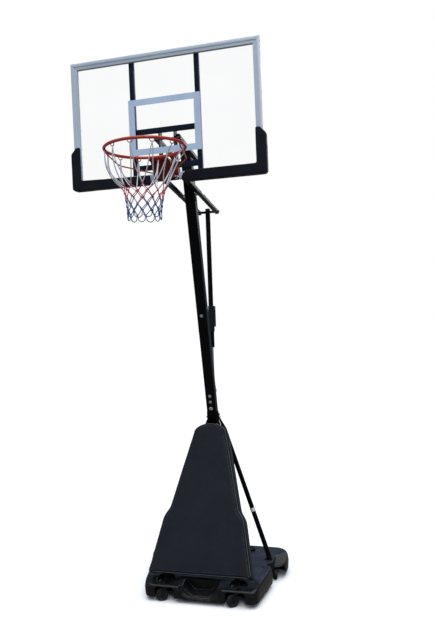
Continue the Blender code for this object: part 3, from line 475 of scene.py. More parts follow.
def hollow_bar(start, end, half, wall, corner, lip=0.0006):
    """A hollow square bar with round corners and a slightly broken edge at each mouth."""
    direction = (end - start).normalized()
    u, v = square_to(direction)
    outer = rounded(half, half, corner, 5)
    eased = rounded(half - lip, half - lip, corner - lip, 5)
    inner = rounded(half - wall, half - wall, max(corner - wall, 0.0008), 5)
    rings = [
        ring_at(start, u, v, eased), ring_at(start + direction * lip, u, v, outer),
        ring_at(end - direction * lip, u, v, outer), ring_at(end, u, v, eased),
        ring_at(end, u, v, inner), ring_at(start, u, v, inner),
    ]
    return skin(rings, loop=True)


def smooth_line(points, steps, closed=False):
    """Points along a curve through the given ones, with no overshoot where they are unevenly spaced."""
    count = len(points)
    line = []
    for i in range(count if closed else count - 1):
        if closed:
            p0, p1, p2, p3 = (points[(i + k) % count] for k in (-1, 0, 1, 2))
        else:
            p0, p1, p2, p3 = (points[min(max(i + k, 0), count - 1)] for k in (-1, 0, 1, 2))
        span = (p2 - p1).length
        leave = (p2 - p0) * (span / max((p1 - p0).length + span, 1e-9))
        arrive = (p3 - p1) * (span / max((p3 - p2).length + span, 1e-9))
        for k in range(steps):
            t = k / steps
            line.append(p1 * (2 * t ** 3 - 3 * t * t + 1) + leave * (t ** 3 - 2 * t * t + t)
                        + p2 * (3 * t * t - 2 * t ** 3) + arrive * (t ** 3 - t * t))
    if not closed:
        line.append(points[-1])
    return line


STRAND_TURNS = 3.0


def tube(bm, line, radius, sides=8, closed=False):
    """Add a round rod along a line, with a strand map: u runs round it and v along it."""
    layer = bm.loops.layers.uv.get("strand") or bm.loops.layers.uv.new("strand")
    count = len(line)
    tangents = []
    for i in range(count):
        ahead = line[(i + 1) % count] if closed else line[min(i + 1, count - 1)]
        behind = line[i - 1] if closed or i else line[0]
        tangents.append((ahead - behind).normalized())
    u, _ = square_to(tangents[0])
    rings, travelled, lengths = [], 0.0, []
    for i in range(count):
        u = (u - tangents[i] * u.dot(tangents[i])).normalized()
        v = tangents[i].cross(u)
        rings.append([bm.verts.new(line[i] + (u * math.cos(a) + v * math.sin(a)) * radius)
                      for a in (2 * math.pi * k / sides for k in range(sides))])
        lengths.append(travelled)
        if i + 1 < count:
            travelled += (line[i + 1] - line[i]).length
    if closed:
        rings.append(rings[0])
        lengths.append(travelled + (line[0] - line[-1]).length)
    for i in range(len(rings) - 1):
        for k in range(sides):
            j = (k + 1) % sides
            face = bm.faces.new((rings[i][k], rings[i][j], rings[i + 1][j], rings[i + 1][k]))
            marks = ((k, i), (k + 1, i), (k + 1, i + 1), (k, i + 1))
            for corner, (around, step) in zip(face.loops, marks):
                along = lengths[step] / (2 * math.pi * radius)
                corner[layer].uv = (STRAND_TURNS * around / sides, STRAND_TURNS * along)
    if not closed:
        bm.faces.new(rings[0])
        bm.faces.new(rings[-1])


def make(name, bm, finish, body, stands_for=(), slot=None, angle=35):
    """Turn a bmesh into a piece that rides on a body and may stand for CAD nodes."""
    bmesh.ops.recalc_face_normals(bm, faces=bm.faces)
    mesh = mesh_from(name, bm)
    piece = placed(name, mesh)
    mesh.materials.append(finish)
    mesh.shade_smooth()
    mesh.set_sharp_from_angle(angle=math.radians(angle))
    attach(piece, body)
    if stands_for:
        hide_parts(*stands_for)
        slot = slot or NODE_SLOT[stands_for[0]]
    return piece


def baked(piece):
    """Apply every modifier on a piece."""
    evaluated = piece.evaluated_get(bpy.context.evaluated_depsgraph_get())
    mesh = bpy.data.meshes.new_from_object(evaluated)
    old = piece.data
    piece.modifiers.clear()
    piece.data = mesh
    mesh.name = piece.name
    bpy.data.meshes.remove(old)
    return piece


def node_copy(node_name):
    """The bare mesh of a CAD node, its triangles joined back into flat faces."""
    bm = bmesh.new()
    bm.from_mesh(frame["nodes"][node_name].data)
    bmesh.ops.remove_doubles(bm, verts=bm.verts, dist=0.00002)
    bmesh.ops.dissolve_limit(bm, angle_limit=math.radians(1.0), verts=bm.verts, edges=bm.edges)
    return bm


def bevelled(node_name, body, finish, width, segments):
    """A CAD node with its hard edges rounded off."""
    piece = make(node_name + "_finished", node_copy(node_name), finish, body, [node_name])
    piece.data.shade_flat()
    bevel = piece.modifiers.new("edges", "BEVEL")
    bevel.width, bevel.segments = width, segments
    bevel.limit_method, bevel.angle_limit = "ANGLE", math.radians(30)
    bevel.use_clamp_overlap = True
    bevel.harden_normals = False
    baked(piece)
    piece.data.shade_smooth()
    piece.data.set_sharp_from_angle(angle=math.radians(42))
    return piece


def remeshed(piece, voxel, smooth):
    """Give a rough solid an even mesh and rounded edges, as a moulded piece has."""
    remesh = piece.modifiers.new("even mesh", "REMESH")
    remesh.mode, remesh.voxel_size, remesh.use_smooth_shade = "VOXEL", voxel, True
    relax = piece.modifiers.new("rounded", "SMOOTH")
    relax.factor, relax.iterations = 0.5, smooth
    baked(piece)
    piece.data.shade_smooth()
    return piece


def cut(piece, bm):
    """Take a solid away from a piece."""
    bmesh.ops.recalc_face_normals(bm, faces=bm.faces)
    mesh = mesh_from("cutter", bm)
    cutter = placed("cutter", mesh)
    boolean = piece.modifiers.new("cut", "BOOLEAN")
    boolean.operation, boolean.solver, boolean.object = "DIFFERENCE", "EXACT", cutter
    baked(piece)
    bpy.data.objects.remove(cutter)
    bpy.data.meshes.remove(mesh)


def box_mesh(low, high):
    plan = ((low.x, low.y), (high.x, low.y), (high.x, high.y), (low.x, high.y))
    corners = [Vector((x, y, 0)) for x, y in plan]
    return skin([[c + Z * low.z for c in corners], [c + Z * high.z for c in corners]])


def eased(length, radius, ease):
    """The profile of a round bar with broken ends."""
    return [(0, radius - ease), (ease, radius), (length - ease, radius), (length, radius - ease)]


WASHER = 0.0018


def bolt_head(bm, seat, outward, across=0.0085, height=0.0065, washer=0.0135):
    """A hexagon head on a washer; seat is the point it bears on."""
    plate = [(0, washer - 0.0006), (0.0004, washer), (WASHER - 0.0004, washer), (WASHER, washer - 0.0006),
             (WASHER, 0.0005)]
    absorb(bm, lathe(seat, outward, plate, 28))
    u, v = square_to(outward)
    base = seat + outward * WASHER
    hexagon = circle(across, 6)
    inner = [(a * 0.88, b * 0.88) for a, b in hexagon]
    absorb(bm, skin([ring_at(base, u, v, hexagon),
                     ring_at(base + outward * (height - 0.0012), u, v, hexagon),
                     ring_at(base + outward * height, u, v, inner)]))


def bolt_set(name, body, outward, heads):
    """Loose bolt heads on one body; each is (seat, across, height, washer)."""
    bm = bmesh.new()
    for seat, *sizes in heads:
        bolt_head(bm, seat, outward, *sizes)
    make(name, bm, ZINC, body, slot="zinc_steel")


# --- Pole, legs and arms ---

# Square tubes, as (width, wall, corner radius).
POLE = (0.075, 0.003, 0.010)
ARM = (0.030, 0.002, 0.005)
SUPPORT = 0.032
SUPPORT_TUBE = (SUPPORT, 0.002, 0.005)


def square_bar(node_name, start, end, size, finish, body):
    width, wall, corner = size
    make(node_name + "_tube", hollow_bar(start, end, width / 2, wall, corner), finish, body, [node_name])


SPLICE_Z = 2.090
square_bar("pole_lower", on_pole(1.180), on_pole(SPLICE_Z - 0.0004), POLE, BLACK_STEEL, "stand")
square_bar("pole_upper", on_pole(SPLICE_Z + 0.0008), on_pole(3.262), POLE, BLACK_STEEL, "stand")

ARM_X = 0.0725
ARM_PAST_PIVOT = ARM_BACK * 0.020
for side, label in SIDES:
    shift = X * side * ARM_X
    for name, front, rear in (("lower_arm", LOWER_FRONT, LIFT_TOP), ("upper_arm", UPPER_FRONT, UPPER_PIVOT)):
        square_bar(f"{name}_{label}", front - ARM_PAST_PIVOT + shift, rear + ARM_PAST_PIVOT + shift,
                   ARM, BLACK_STEEL, name + "s")

FRAME_DEPTH = 0.030
UPRIGHT_X = 0.222
support_behind = FRAME_DEPTH + 0.0003 + SUPPORT / 2
for side, label in SIDES:
    foot, head = (at(side * UPRIGHT_X, support_behind, z) for z in (BOARD_LOW + 0.004, BOARD_HIGH - 0.004))
    square_bar(f"board_upright_{label}", foot, head, SUPPORT_TUBE, NAVY_STEEL, "board")
reach = UPRIGHT_X - SUPPORT / 2 - 0.0004
for label, z in (("upper", 3.270), ("lower", 3.033)):
    square_bar(f"board_crossbar_{label}", at(-reach, support_behind, z), at(reach, support_behind, z),
               SUPPORT_TUBE, NAVY_STEEL, "board")


def limb(node_name, side, sections, share):
    """A pressed tube; each section is (x, behind, z, half width, half depth)."""
    stations = []
    for first, second in zip(sections, sections[1:]):
        long_run = abs(second[2] - first[2]) > 0.2
        marks = (0.0, 0.02, 0.5, 0.98) if long_run else (0.0, 0.2, 0.4, 0.6, 0.8)
        for t in marks:
            s = t if long_run else t * t * (3 - 2 * t)
            shares = (t, t, t, s, s)
            stations.append([a + (b - a) * share_now for a, b, share_now in zip(first, second, shares)])
    stations.append(list(sections[-1]))
    rings = []
    for x, behind, z, half_x, half_y in stations:
        section = rounded(half_x, half_y, min(half_x, half_y) * share, 5)
        rings.append(ring_at(at(side * x, behind, z), X, Y, section))
    make(node_name + "_bar", skin(rings), BLACK_STEEL, "stand", [node_name])


LEG = [(0.0408, 0.929, 1.272, 0.003, 0.021), (0.0408, 0.937, 1.205, 0.003, 0.020),
       (0.052, 0.915, 1.150, 0.009, 0.019), (0.064, 0.899, 1.110, 0.018, 0.020),
       (0.265, 0.428, 0.1285, 0.019, 0.021)]
STRUT_HALF = 0.0175
STRUT_HEAD, STRUT_FOOT = (0.080, 0.975, 1.120), (0.414, 0.850, 0.185)
STRUT = [(0.0466, 0.947, 1.252, 0.0025, 0.016), (0.0466, 0.956, 1.214, 0.0025, 0.016),
         (*STRUT_HEAD, STRUT_HALF, STRUT_HALF), (*STRUT_FOOT, STRUT_HALF, STRUT_HALF),
         (0.418, 0.850, 0.163, 0.017, 0.024), (0.418, 0.850, 0.1515, 0.030, 0.026),
         (0.418, 0.850, 0.1504, 0.030, 0.026)]
for side, label in SIDES:
    limb(f"front_leg_{label}", side, LEG, 0.42)
    limb(f"rear_strut_{label}", side, STRUT, 0.7)

# A blank pale wrap on the right-hand strut.
WRAP_LENGTH = 0.028
strut_high, strut_low = at(*STRUT_HEAD), at(*STRUT_FOOT)
strut_axis = (strut_low - strut_high).normalized()
band_start = strut_high.lerp(strut_low, 0.652) - strut_axis * WRAP_LENGTH / 2
wrap = [(0, 0.0182), (0.0003, 0.0192), (WRAP_LENGTH - 0.0003, 0.0192), (WRAP_LENGTH, 0.0182)]
make("strut_wrap", lathe(band_start, strut_axis, wrap, 28), PALE_WRAP, "stand", slot="net_cord", angle=60)


# Bolts that run across the linkage, with their spacers, washers and hexagon heads.

BOLT_RADIUS = 0.006
HEAD_STACK = 0.0083


def cross_bolt(node_name, centre, half_length, body, spacer=None, finish=ZINC):
    """A bolt along X; its spacers are given as (inner end, outer end, radius)."""
    bm = bmesh.new()
    seat = half_length - HEAD_STACK
    absorb(bm, lathe(centre - X * seat, X, eased(2 * seat, BOLT_RADIUS, 0.0005), 24))
    for side in (1, -1):
        bolt_head(bm, centre + X * side * seat, X * side)
    if spacer:
        low, high, outside = spacer
        length = high - low
        profile = [(0, BOLT_RADIUS), *eased(length, outside, 0.0006), (length, BOLT_RADIUS)]
        for side in (-1, 1):
            absorb(bm, lathe(centre + X * side * low, X * side, profile, 28))
    make(node_name + "_set", bm, finish, body, [node_name])


LINK_BOLT = 0.0960
POLE_SPACER, BOARD_SPACER = (0.038, 0.057, 0.011), (0.0549, 0.0571, 0.010)
cross_bolt("pivot_bolt_lower", LOWER_PIVOT, LINK_BOLT, "stand", POLE_SPACER)
cross_bolt("pivot_bolt_upper", UPPER_PIVOT, LINK_BOLT, "stand", POLE_SPACER)
cross_bolt("rear_axle", LIFT_TOP, LINK_BOLT, "lower_arms", (0.0195, 0.057, 0.010), BLACK_STEEL)
cross_bolt("board_bolt_lower", LOWER_FRONT, LINK_BOLT, "board", BOARD_SPACER)
cross_bolt("board_bolt_upper", UPPER_FRONT, LINK_BOLT, "board", BOARD_SPACER)
cross_bolt("leg_joint_bolt", JOINT, 0.0575, "stand")

# Bolts through the front of the pole: one at the splice, two above the legs and a larger one at their joint.
bolt_set("pole_front_bolts", "stand", -POLE_BACK, [
    (on_pole(z, -0.0376), across, 0.0060, across + 0.0045)
    for z, across in ((2.043, 0.0075), (1.409, 0.0075), (1.362, 0.0075), (1.308, 0.0105))])
bolt_set("strut_foot_bolts", "stand", Z, [
    (at(side * (0.418 + shift * 1.15), 0.850, 0.1520), 0.0055, 0.004, 0.008)
    for side in (-1, 1) for shift in (-0.018, 0.018)])


# --- Board ---

PANEL_FRONT = 0.012


def rail(node_name, corner, along, inward, length):
    """A drawn frame section: a round outer edge, a step down to the lip over the panel, mitred ends."""
    face, step, deep, wall = 0.044, 0.023, 0.005, 0.003
    glass = PANEL_FRONT - 0.0003
    front = [(0.0030 * (1 - math.sin(t)), 0.0030 * (1 - math.cos(t))) for t in (1.2, 0.8, 0.4, 0.0)]
    groove = [(step - 0.0010, 0.0), (step - 0.0003, 0.0003), (step, 0.0010), (step, deep - 0.0003),
              (step + 0.0004, deep)]
    lip = [(face - 0.0012, deep), (face - 0.0003, deep + 0.0004), (face, deep + 0.0014), (face, glass)]
    inside = [(0.020, glass), (0.020, wall), (wall, wall), (wall, FRAME_DEPTH - wall),
              (face - 0.004, FRAME_DEPTH - wall), (face - 0.004, 0.0183), (face, 0.0183)]
    back = [(face, FRAME_DEPTH - 0.001), (face - 0.001, FRAME_DEPTH), (0.0025, FRAME_DEPTH),
            (0.0008, FRAME_DEPTH - 0.0008), (0.0, FRAME_DEPTH - 0.0025)]
    section = [(0.0, 0.0030)] + front + groove + lip + inside + back
    mitre = 0.0004
    rings = [
        [corner + along * (depth + mitre) + inward * depth + Y * y for depth, y in section],
        [corner + along * (length - depth - mitre) + inward * depth + Y * y for depth, y in section],
    ]
    make(node_name + "_profile", skin(rings), SILVER, "board", [node_name], angle=28)


width, height = BOARD_RIGHT - BOARD_LEFT, BOARD_HIGH - BOARD_LOW
rail("frame_rail_bottom", at(BOARD_LEFT, 0, BOARD_LOW), X, Z, width)
rail("frame_rail_top", at(BOARD_LEFT, 0, BOARD_HIGH), X, -Z, width)
rail("frame_rail_left", at(BOARD_LEFT, 0, BOARD_LOW), Z, X, height)
rail("frame_rail_right", at(BOARD_RIGHT, 0, BOARD_LOW), Z, -X, height)

# The panel, with its edges broken, and the painted rectangle on its front.
bevelled("backboard_panel", "board", ACRYLIC, 0.0006, 2)


def painted_frame(outer_x, inner_x, low, high, inner_low, inner_high):
    """A mitred rectangle of ink, 0.25 mm proud of the panel."""
    back, proud, ease = PANEL_FRONT - 0.00005, PANEL_FRONT - 0.00025, 0.0002

    def loop(x, z0, z1, behind):
        return [at(-x, behind, z0), at(x, behind, z0), at(x, behind, z1), at(-x, behind, z1)]

    rings = [loop(outer_x, low, high, back), loop(outer_x - ease, low + ease, high - ease, proud),
             loop(inner_x + ease, inner_low - ease, inner_high + ease, proud),
             loop(inner_x, inner_low, inner_high, back)]
    return skin(rings, loop=True)


ink = painted_frame(0.244, 0.2015, 3.110, 3.475, 3.152, 3.434)
make("painted_rectangle", ink, PAINT, "board", slot="clear_acrylic")

# Screws that hold the uprights to the frame, seen from behind.
bolt_set("upright_screws", "board", Y, [
    (at(side * UPRIGHT_X, FRAME_DEPTH + SUPPORT + 0.0004, z), 0.006, 0.0045, 0.009)
    for side in (-1, 1) for z in (BOARD_LOW + 0.090, BOARD_HIGH - 0.026)])

for label in ("left", "right"):
    bevelled(f"arm_bracket_{label}", "board", NAVY_STEEL, 0.0008, 2)


def edge_pad(side, label):
    """A moulded foam channel round the lower corner, with soft edges and shaped ends."""
    outer, bottom, cover = 0.6596, BOARD_LOW - 0.0196, 0.0666
    inner_end, top = 0.106, 3.204
    top_end = [(outer, top - 0.046), (outer - 0.003, top - 0.038), (outer - 0.036, top - 0.003),
               (outer - 0.042, top), (outer - cover + 0.006, top), (outer - cover, top - 0.006)]
    if side < 0:
        low_end = [(inner_end, bottom + cover - 0.010), (inner_end, bottom + 0.010)]
    else:
        low_end = [(inner_end + 0.034, bottom + cover), (inner_end + 0.008, bottom + cover - 0.018),
                   (inner_end, bottom + 0.030), (inner_end, bottom + 0.010)]
    bend = 0.022
    corner = [(outer - bend + bend * math.sin(a), bottom + bend - bend * math.cos(a))
              for a in (0.0, 0.4, 0.8, 1.2, math.pi / 2)]
    outline = [(inner_end + 0.008, bottom)] + corner + top_end
    outline += [(outer - cover, bottom + cover + 0.006), (outer - cover - 0.006, bottom + cover)] + low_end
    front, rear = -0.0132, 0.0432
    rings = [[at(side * x, behind, z) for x, z in outline] for behind in (front, rear)]
    piece = make(f"edge_pad_{label}_foam", skin(rings), FOAM_SKIN, "board", [f"edge_pad_{label}"])
    gap, beyond = 0.0012, 0.060
    cut(piece, box_mesh(at(BOARD_LEFT - gap, -gap, BOARD_LOW - gap),
                        at(BOARD_RIGHT + gap, FRAME_DEPTH + gap, 3.5)))
    x = side * UPRIGHT_X
    half = SUPPORT / 2 + 0.003
    cut(piece, box_mesh(at(x - half, FRAME_DEPTH - 0.001, bottom + 0.012), at(x + half, beyond, 3.10)))
    flange_inner, flange_outer = sorted((side * (outer - cover - 0.010), side * (outer - 0.044)))
    cut(piece, box_mesh(at(flange_inner, FRAME_DEPTH - 0.002, bottom + cover + 0.004),
                        at(flange_outer, beyond, top + 0.010)))
    remeshed(piece, 0.0040, 5)
    normals = [vertex.normal.copy() for vertex in piece.data.vertices]
    for vertex, normal in zip(piece.data.vertices, normals):
        vertex.co += normal * (noise.noise(vertex.co * 16.0) * 0.0007 + 0.0004)


for side, label in SIDES:
    edge_pad(side, label)


# --- Rim, springs and net ---

ring = bmesh.new()
ring_line = [RING_CENTRE + (X * math.cos(a) + Y * math.sin(a)) * RING_RADIUS
             for a in (2 * math.pi * i / 144 for i in range(144))]
tube(ring, ring_line, RING_ROD, 20, closed=True)
make("rim_ring_rod", ring, RIM_RED, "rim", ["rim_ring"], angle=80)

HOOKS = 12
hooks = bmesh.new()
for k in range(HOOKS):
    a = 2 * math.pi * k / HOOKS
    out, across = X * math.cos(a) + Y * math.sin(a), Y * math.cos(a) - X * math.sin(a)
    foot = RING_CENTRE + out * (RING_RADIUS - 0.001) - Z * (RING_ROD - 0.0012)
    half = [(0.014, 0.0, 0.0), (0.0135, 0.005, 0.0), (0.010, 0.0125, 0.001)]
    bends = [(-wide, down, inwards) for wide, down, inwards in half] + [(0.0, 0.0155, 0.002)] + half[::-1]
    route = [foot + across * wide - Z * down - out * inwards for wide, down, inwards in bends]
    tube(hooks, smooth_line(route, 4), 0.0026, 8)
make("net_hooks", hooks, RIM_RED, "rim", slot="rim_orange", angle=80)

# A brace runs from the side of the ring, round a bend, to the housing.
BRACE = [(0.2294, -0.4415, 3.0384), (0.2238, -0.370, 3.0196), (0.218, -0.290, 3.001),
         (0.211, -0.251, 2.9935), (0.196, -0.228, 2.991), (0.130, -0.136, 2.9815), (0.064, -0.042, 2.9715)]
for side, label in SIDES:
    bm = bmesh.new()
    line = smooth_line([at(side * x, behind, z) for x, behind, z in BRACE], 8)
    tube(bm, line, 0.0043, 12)
    make(f"rim_brace_{label}_rod", bm, RIM_RED, "rim", [f"rim_brace_{label}"], angle=80)

bevelled("rim_housing", "rim", SPRING_RED, 0.0012, 3)
bevelled("rim_backplate", "board", SPRING_RED, 0.0007, 2)

SPRING_X, SPRING_Z = 0.026, 2.985
COIL_TURNS, COIL_STEPS, COIL_LENGTH, COIL_RADIUS = 6.5, 120, 0.0475, 0.0091
for side, label in SIDES:
    bm = bmesh.new()
    start = at(side * SPRING_X, -0.0075, SPRING_Z)
    coil = []
    for i in range(COIL_STEPS + 1):
        a = 2 * math.pi * COIL_TURNS * i / COIL_STEPS
        spoke = (X * math.cos(a) + Z * math.sin(a)) * COIL_RADIUS
        coil.append(start - Y * COIL_LENGTH * i / COIL_STEPS + spoke)
    tube(bm, coil, 0.0018, 8)
    bolt_head(bm, at(side * SPRING_X, -0.0565, SPRING_Z), -Y, 0.0062, 0.005, 0.0105)
    make(f"rim_spring_{label}_coil", bm, ZINC, "board", [f"rim_spring_{label}"], angle=60)

bolt_set("rim_plate_bolts", "board", -Y, [
    (at(side * 0.074, -0.0049, z), 0.0070, 0.005, 0.0105) for side in (-1, 1) for z in (2.944, 3.045)])

PIN_LENGTH = 0.134
pin_end = [(0, 0.0070), (0.001, 0.008), (0.004, 0.008), (0.0045, 0.005)]
pin = pin_end + [(PIN_LENGTH - s, r) for s, r in reversed(pin_end)]
bm = lathe(HINGE_PIN - X * PIN_LENGTH / 2, X, pin, 24)
make("rim_hinge_pin_bolt", bm, ZINC, "board", ["rim_hinge_pin"])

# The net: rows of (height, radius), from the hooks down to the last row of knots.
NET_ROWS = [(3.0265, 0.2350), (2.8260, 0.1330), (2.7880, 0.1170), (2.7480, 0.1080), (2.7080, 0.1035),
            (2.6720, 0.1010)]
NET_COLOURS = [CORD_WHITE, CORD_RED, CORD_RED, CORD_BLUE, CORD_BLUE]
NET_DRIFT = -0.055
STRAND = 0.0027
KNOT_STEPS = 22
dice = random.Random(12)


def net_axis(z):
    """The middle of the net at a height: it hangs a little to the left."""
    return RING_CENTRE.xy.to_3d() + Z * z + X * NET_DRIFT * (NET_ROWS[0][0] - z)


def net_point(row, step):
    """A knot's place; step counts half pitches round the net."""
    z, radius = NET_ROWS[row]
    a = math.pi * step / HOOKS
    return net_axis(z) + X * radius * math.cos(a) + Y * radius * math.sin(a)


knots = {}
for row in range(len(NET_ROWS)):
    for k in range(HOOKS):
        step = 2 * k + row % 2
        jitter = 0.0 if row == 0 else 0.0040
        knots[row, step] = net_point(row, step) + Vector([dice.uniform(-jitter, jitter) for _ in range(3)])


def long_leg(start, end, turn):
    """A leg of a hook's loop: it drops from the hook, then sweeps in to its knot, slacker on the left."""
    foot = net_axis(start.z)
    reach_in, reach_out = end - net_axis(end.z), start - foot
    slack = 1.75 - 1.0 * reach_out.normalized().x + dice.uniform(-0.15, 0.15)
    sway = dice.uniform(-0.006, 0.006)
    points = [start + Z * 0.0045, start - Z * 0.0015]
    for t in (0.12, 0.3, 0.5, 0.7, 0.86):
        z = start.z + (end.z - start.z) * t
        out = reach_out.lerp(reach_in, t ** slack)
        heading = reach_out.lerp(reach_in, t ** 2.2).normalized()
        across = Z.cross(heading)
        aside = sway * math.sin(math.pi * t) + 0.0035 * turn * (1 - t)
        points.append(net_axis(z) + heading * out.length + across * aside)
    return points + [end]


strands = {CORD_WHITE.name: bmesh.new(), CORD_RED.name: bmesh.new(), CORD_BLUE.name: bmesh.new()}
for row in range(len(NET_ROWS) - 1):
    bm = strands[NET_COLOURS[row].name]
    for k in range(HOOKS):
        step = 2 * k + row % 2
        for turn in (-1, 1):
            below = (step + turn) % (2 * HOOKS)
            start, end = knots[row, step], knots[row + 1, below]
            inward = (net_axis(start.z) - start).normalized()
            sideways = Z.cross(inward) * turn * -1
            length = (end - start).length
            lift = inward * (0.0024 * turn)
            if row == 0:
                tube(bm, smooth_line(long_leg(start, end, turn), 5), STRAND * 1.18, 8)
                continue
            sag = dice.uniform(0.02, 0.08) * length
            middle = (start + end) / 2 + inward * sag * 0.5 - Z * sag * 0.4
            middle += sideways * dice.uniform(-0.06, 0.08) * length
            tube(bm, smooth_line([start - lift, middle, end + lift], 6), STRAND, 7)

# A small knot of cord where the strands cross.
for row in range(1, len(NET_ROWS)):
    bm = strands[NET_COLOURS[min(row, len(NET_COLOURS) - 1)].name]
    for k in range(HOOKS):
        step = 2 * k + row % 2
        centre = knots[row, step]
        out = (centre - net_axis(centre.z)).normalized()
        across = Z.cross(out)
        turn = dice.uniform(0, 2)
        line = []
        for i in range(KNOT_STEPS):
            t = 2 * math.pi * i / KNOT_STEPS
            wide = 0.0034 + 0.0014 * math.cos(3 * t)
            around = across * math.cos(2 * t + turn) + Z * 1.25 * math.sin(2 * t + turn)
            line.append(centre + around * wide + out * 0.0022 * math.sin(3 * t))
        tube(bm, line, STRAND * 0.85, 6, closed=True)

# The free loops along the bottom, each hanging between two neighbouring knots of the last row.
bottom = strands[CORD_BLUE.name]
row = len(NET_ROWS) - 1
for k in range(HOOKS):
    step = 2 * k + row % 2
    start, end = knots[row, step], knots[row, (step + 2) % (2 * HOOKS)]
    drop = dice.uniform(0.034, 0.043)
    line = []
    for t in (0.0, 0.08, 0.22, 0.38, 0.5, 0.62, 0.78, 0.92, 1.0):
        p = start.lerp(end, 0.5 - 0.5 * math.cos(math.pi * t) if 0.1 < t < 0.9 else t)
        out = (p - net_axis(p.z)).normalized()
        line.append(p + out * 0.003 * math.sin(math.pi * t) - Z * drop * math.sin(math.pi * t) ** 0.8)
    tube(bottom, smooth_line(line, 4), STRAND, 7)
for finish, label in ((CORD_WHITE, "white"), (CORD_RED, "red"), (CORD_BLUE, "blue")):
    make(f"net_{label}_strands", strands[finish.name], finish, "rim", ["net"], angle=80)


# --- Lift tube, rod, grip, trigger and bracket ---

TUBE_LENGTH = 1.117
tube_wall = [(0, 0.0170), (0, 0.0185), (0.0006, 0.019), (TUBE_LENGTH - 0.0006, 0.019), (TUBE_LENGTH, 0.0185),
             (TUBE_LENGTH, 0.0170)]
bm = lathe(along_lift(-0.027), LIFT_DOWN, tube_wall, 40, loop=True)
make("lift_tube_round", bm, BLACK_STEEL, "lift_tube", ["lift_tube"])

# The rod starts inside the tube and ends just past the pin through its foot.
ROD_LENGTH, ROD_PAST_PIN, ROD_PIN = 1.0240, 0.014, 0.037
lift_length = (LIFT_FOOT - LIFT_TOP).length
rod = [(0, 0.0088), (0.0012, 0.010), (ROD_LENGTH - 0.0015, 0.010), (ROD_LENGTH, 0.0088)]
bm = lathe(along_lift(lift_length - ROD_LENGTH + ROD_PAST_PIN), LIFT_DOWN, rod, 36)
absorb(bm, lathe(LIFT_FOOT - X * ROD_PIN / 2, X, [(0, 0.006), (ROD_PIN, 0.006)], 20))
for side in (1, -1):
    bolt_head(bm, LIFT_FOOT + X * side * 0.0182, X * side, 0.0080, 0.0045, 0.0100)
make("lift_rod_bar", bm, CHROME, "lift_rod", ["lift_rod"])

grip = make("lift_grip_moulding", node_copy("lift_grip"), NYLON, "lift_tube", ["lift_grip"])
remeshed(grip, 0.0016, 6)
trigger = make("lift_trigger_moulding", node_copy("lift_trigger"), TRIGGER, "trigger", ["lift_trigger"])
remeshed(trigger, 0.0011, 5)
bevelled("lift_bracket", "stand", BLACK_STEEL, 0.0009, 2)
bevelled("pole_cap", "stand", NYLON, 0.0014, 3)


# --- Base ---

def base_outline():
    """The base from above, in (x, behind): the front, the waist and the wide rear ears."""
    half = [(0.355, 0.326), (0.396, 0.333), (0.418, 0.360), (0.430, 0.420), (0.470, 0.680), (0.462, 0.714),
            (0.434, 0.744), (0.432, 0.772), (0.466, 0.796), (0.514, 0.822), (0.543, 0.876), (0.551, 0.950),
            (0.545, 1.016), (0.516, 1.072), (0.458, 1.099)]
    points = [Vector((x, y, 0)) for x, y in half] + [Vector((-x, y, 0)) for x, y in reversed(half)]
    return smooth_line(points, 3, closed=True)


outline = base_outline()
middle = Vector((0, 0.72, 0))
# Each level is (height, scale): the wall bulges at the seam, and the top slopes down towards the front.
levels = [(0.030, 0.978), (0.035, 0.990), (0.088, 0.997), (TANK_SEAM, 1.0), (0.096, 0.997), (0.136, 0.988),
          (0.1498, 0.968)]
rings = []
for z, scale in levels:
    ring_points = []
    for p in outline:
        q = middle + (p - middle) * scale
        near_front = max(0.0, 1 - max(0.0, q.y - 0.335) / 0.13) ** 2
        slope = near_front * max(0.0, z - 0.09) / 0.06
        ring_points.append(at(q.x, q.y, z - 0.030 * slope))
    rings.append(ring_points)
tank = make("base_tank_moulding", skin(rings), TANK, "stand", ["base_tank"])


def pocket(points, floor, flare, depth=0.03):
    """Press a shallow flat-bottomed pocket into the top of the tank."""
    centre = sum((Vector((x, y, 0)) for x, y in points), Vector()) / len(points)
    lower = [at(x, y, floor) for x, y in points]
    upper = [p + Z * depth + (Vector((x, y, 0)) - centre) * flare for p, (x, y) in zip(lower, points)]
    cut(tank, skin([lower, upper]))


CASTER_WELLS = ((0.260, 0.368), (0.455, 0.875))
LONG_POCKET = ((0.352, 0.520), (0.388, 0.520), (0.412, 0.700), (0.376, 0.700))
REAR_GROOVE = ((0.340, 0.806), (0.500, 0.840), (0.500, 0.846), (0.340, 0.812))
# The hood over a rear caster falls away outwards and forwards from its inner edge.
HOOD = ((0.458, 0.780), (0.458, 0.930), (0.540, 1.010), (0.600, 1.010), (0.600, 0.780))
HOOD_SLOPE, HOOD_OUT, HOOD_FORWARD = 0.36, 0.698, 0.716
hood_x, hood_y = HOOD[1]
ABOVE_TOP = 0.200
for side in (-1, 1):
    for x, y in CASTER_WELLS:
        cut(tank, lathe(at(side * x, y, -0.02), Z, [(0, 0.080), (0.116, 0.080), (0.128, 0.066)], 48))
    cut(tank, lathe(at(side * 0.268, 0.412, 0.112), Z, [(0, 0.054), (0.008, 0.062), (0.070, 0.078)], 56))
    pocket([(side * x, y) for x, y in LONG_POCKET], 0.1425, 0.3)
    pocket([(side * x, y) for x, y in REAR_GROOVE], 0.1440, 0.1)
    drops = [HOOD_SLOPE * ((x - hood_x) * HOOD_OUT - (y - hood_y) * HOOD_FORWARD) for x, y in HOOD]
    cut(tank, skin([[at(side * x, y, BASE_TOP - drop) for (x, y), drop in zip(HOOD, drops)],
                    [at(side * x, y, ABOVE_TOP) for x, y in HOOD]]))
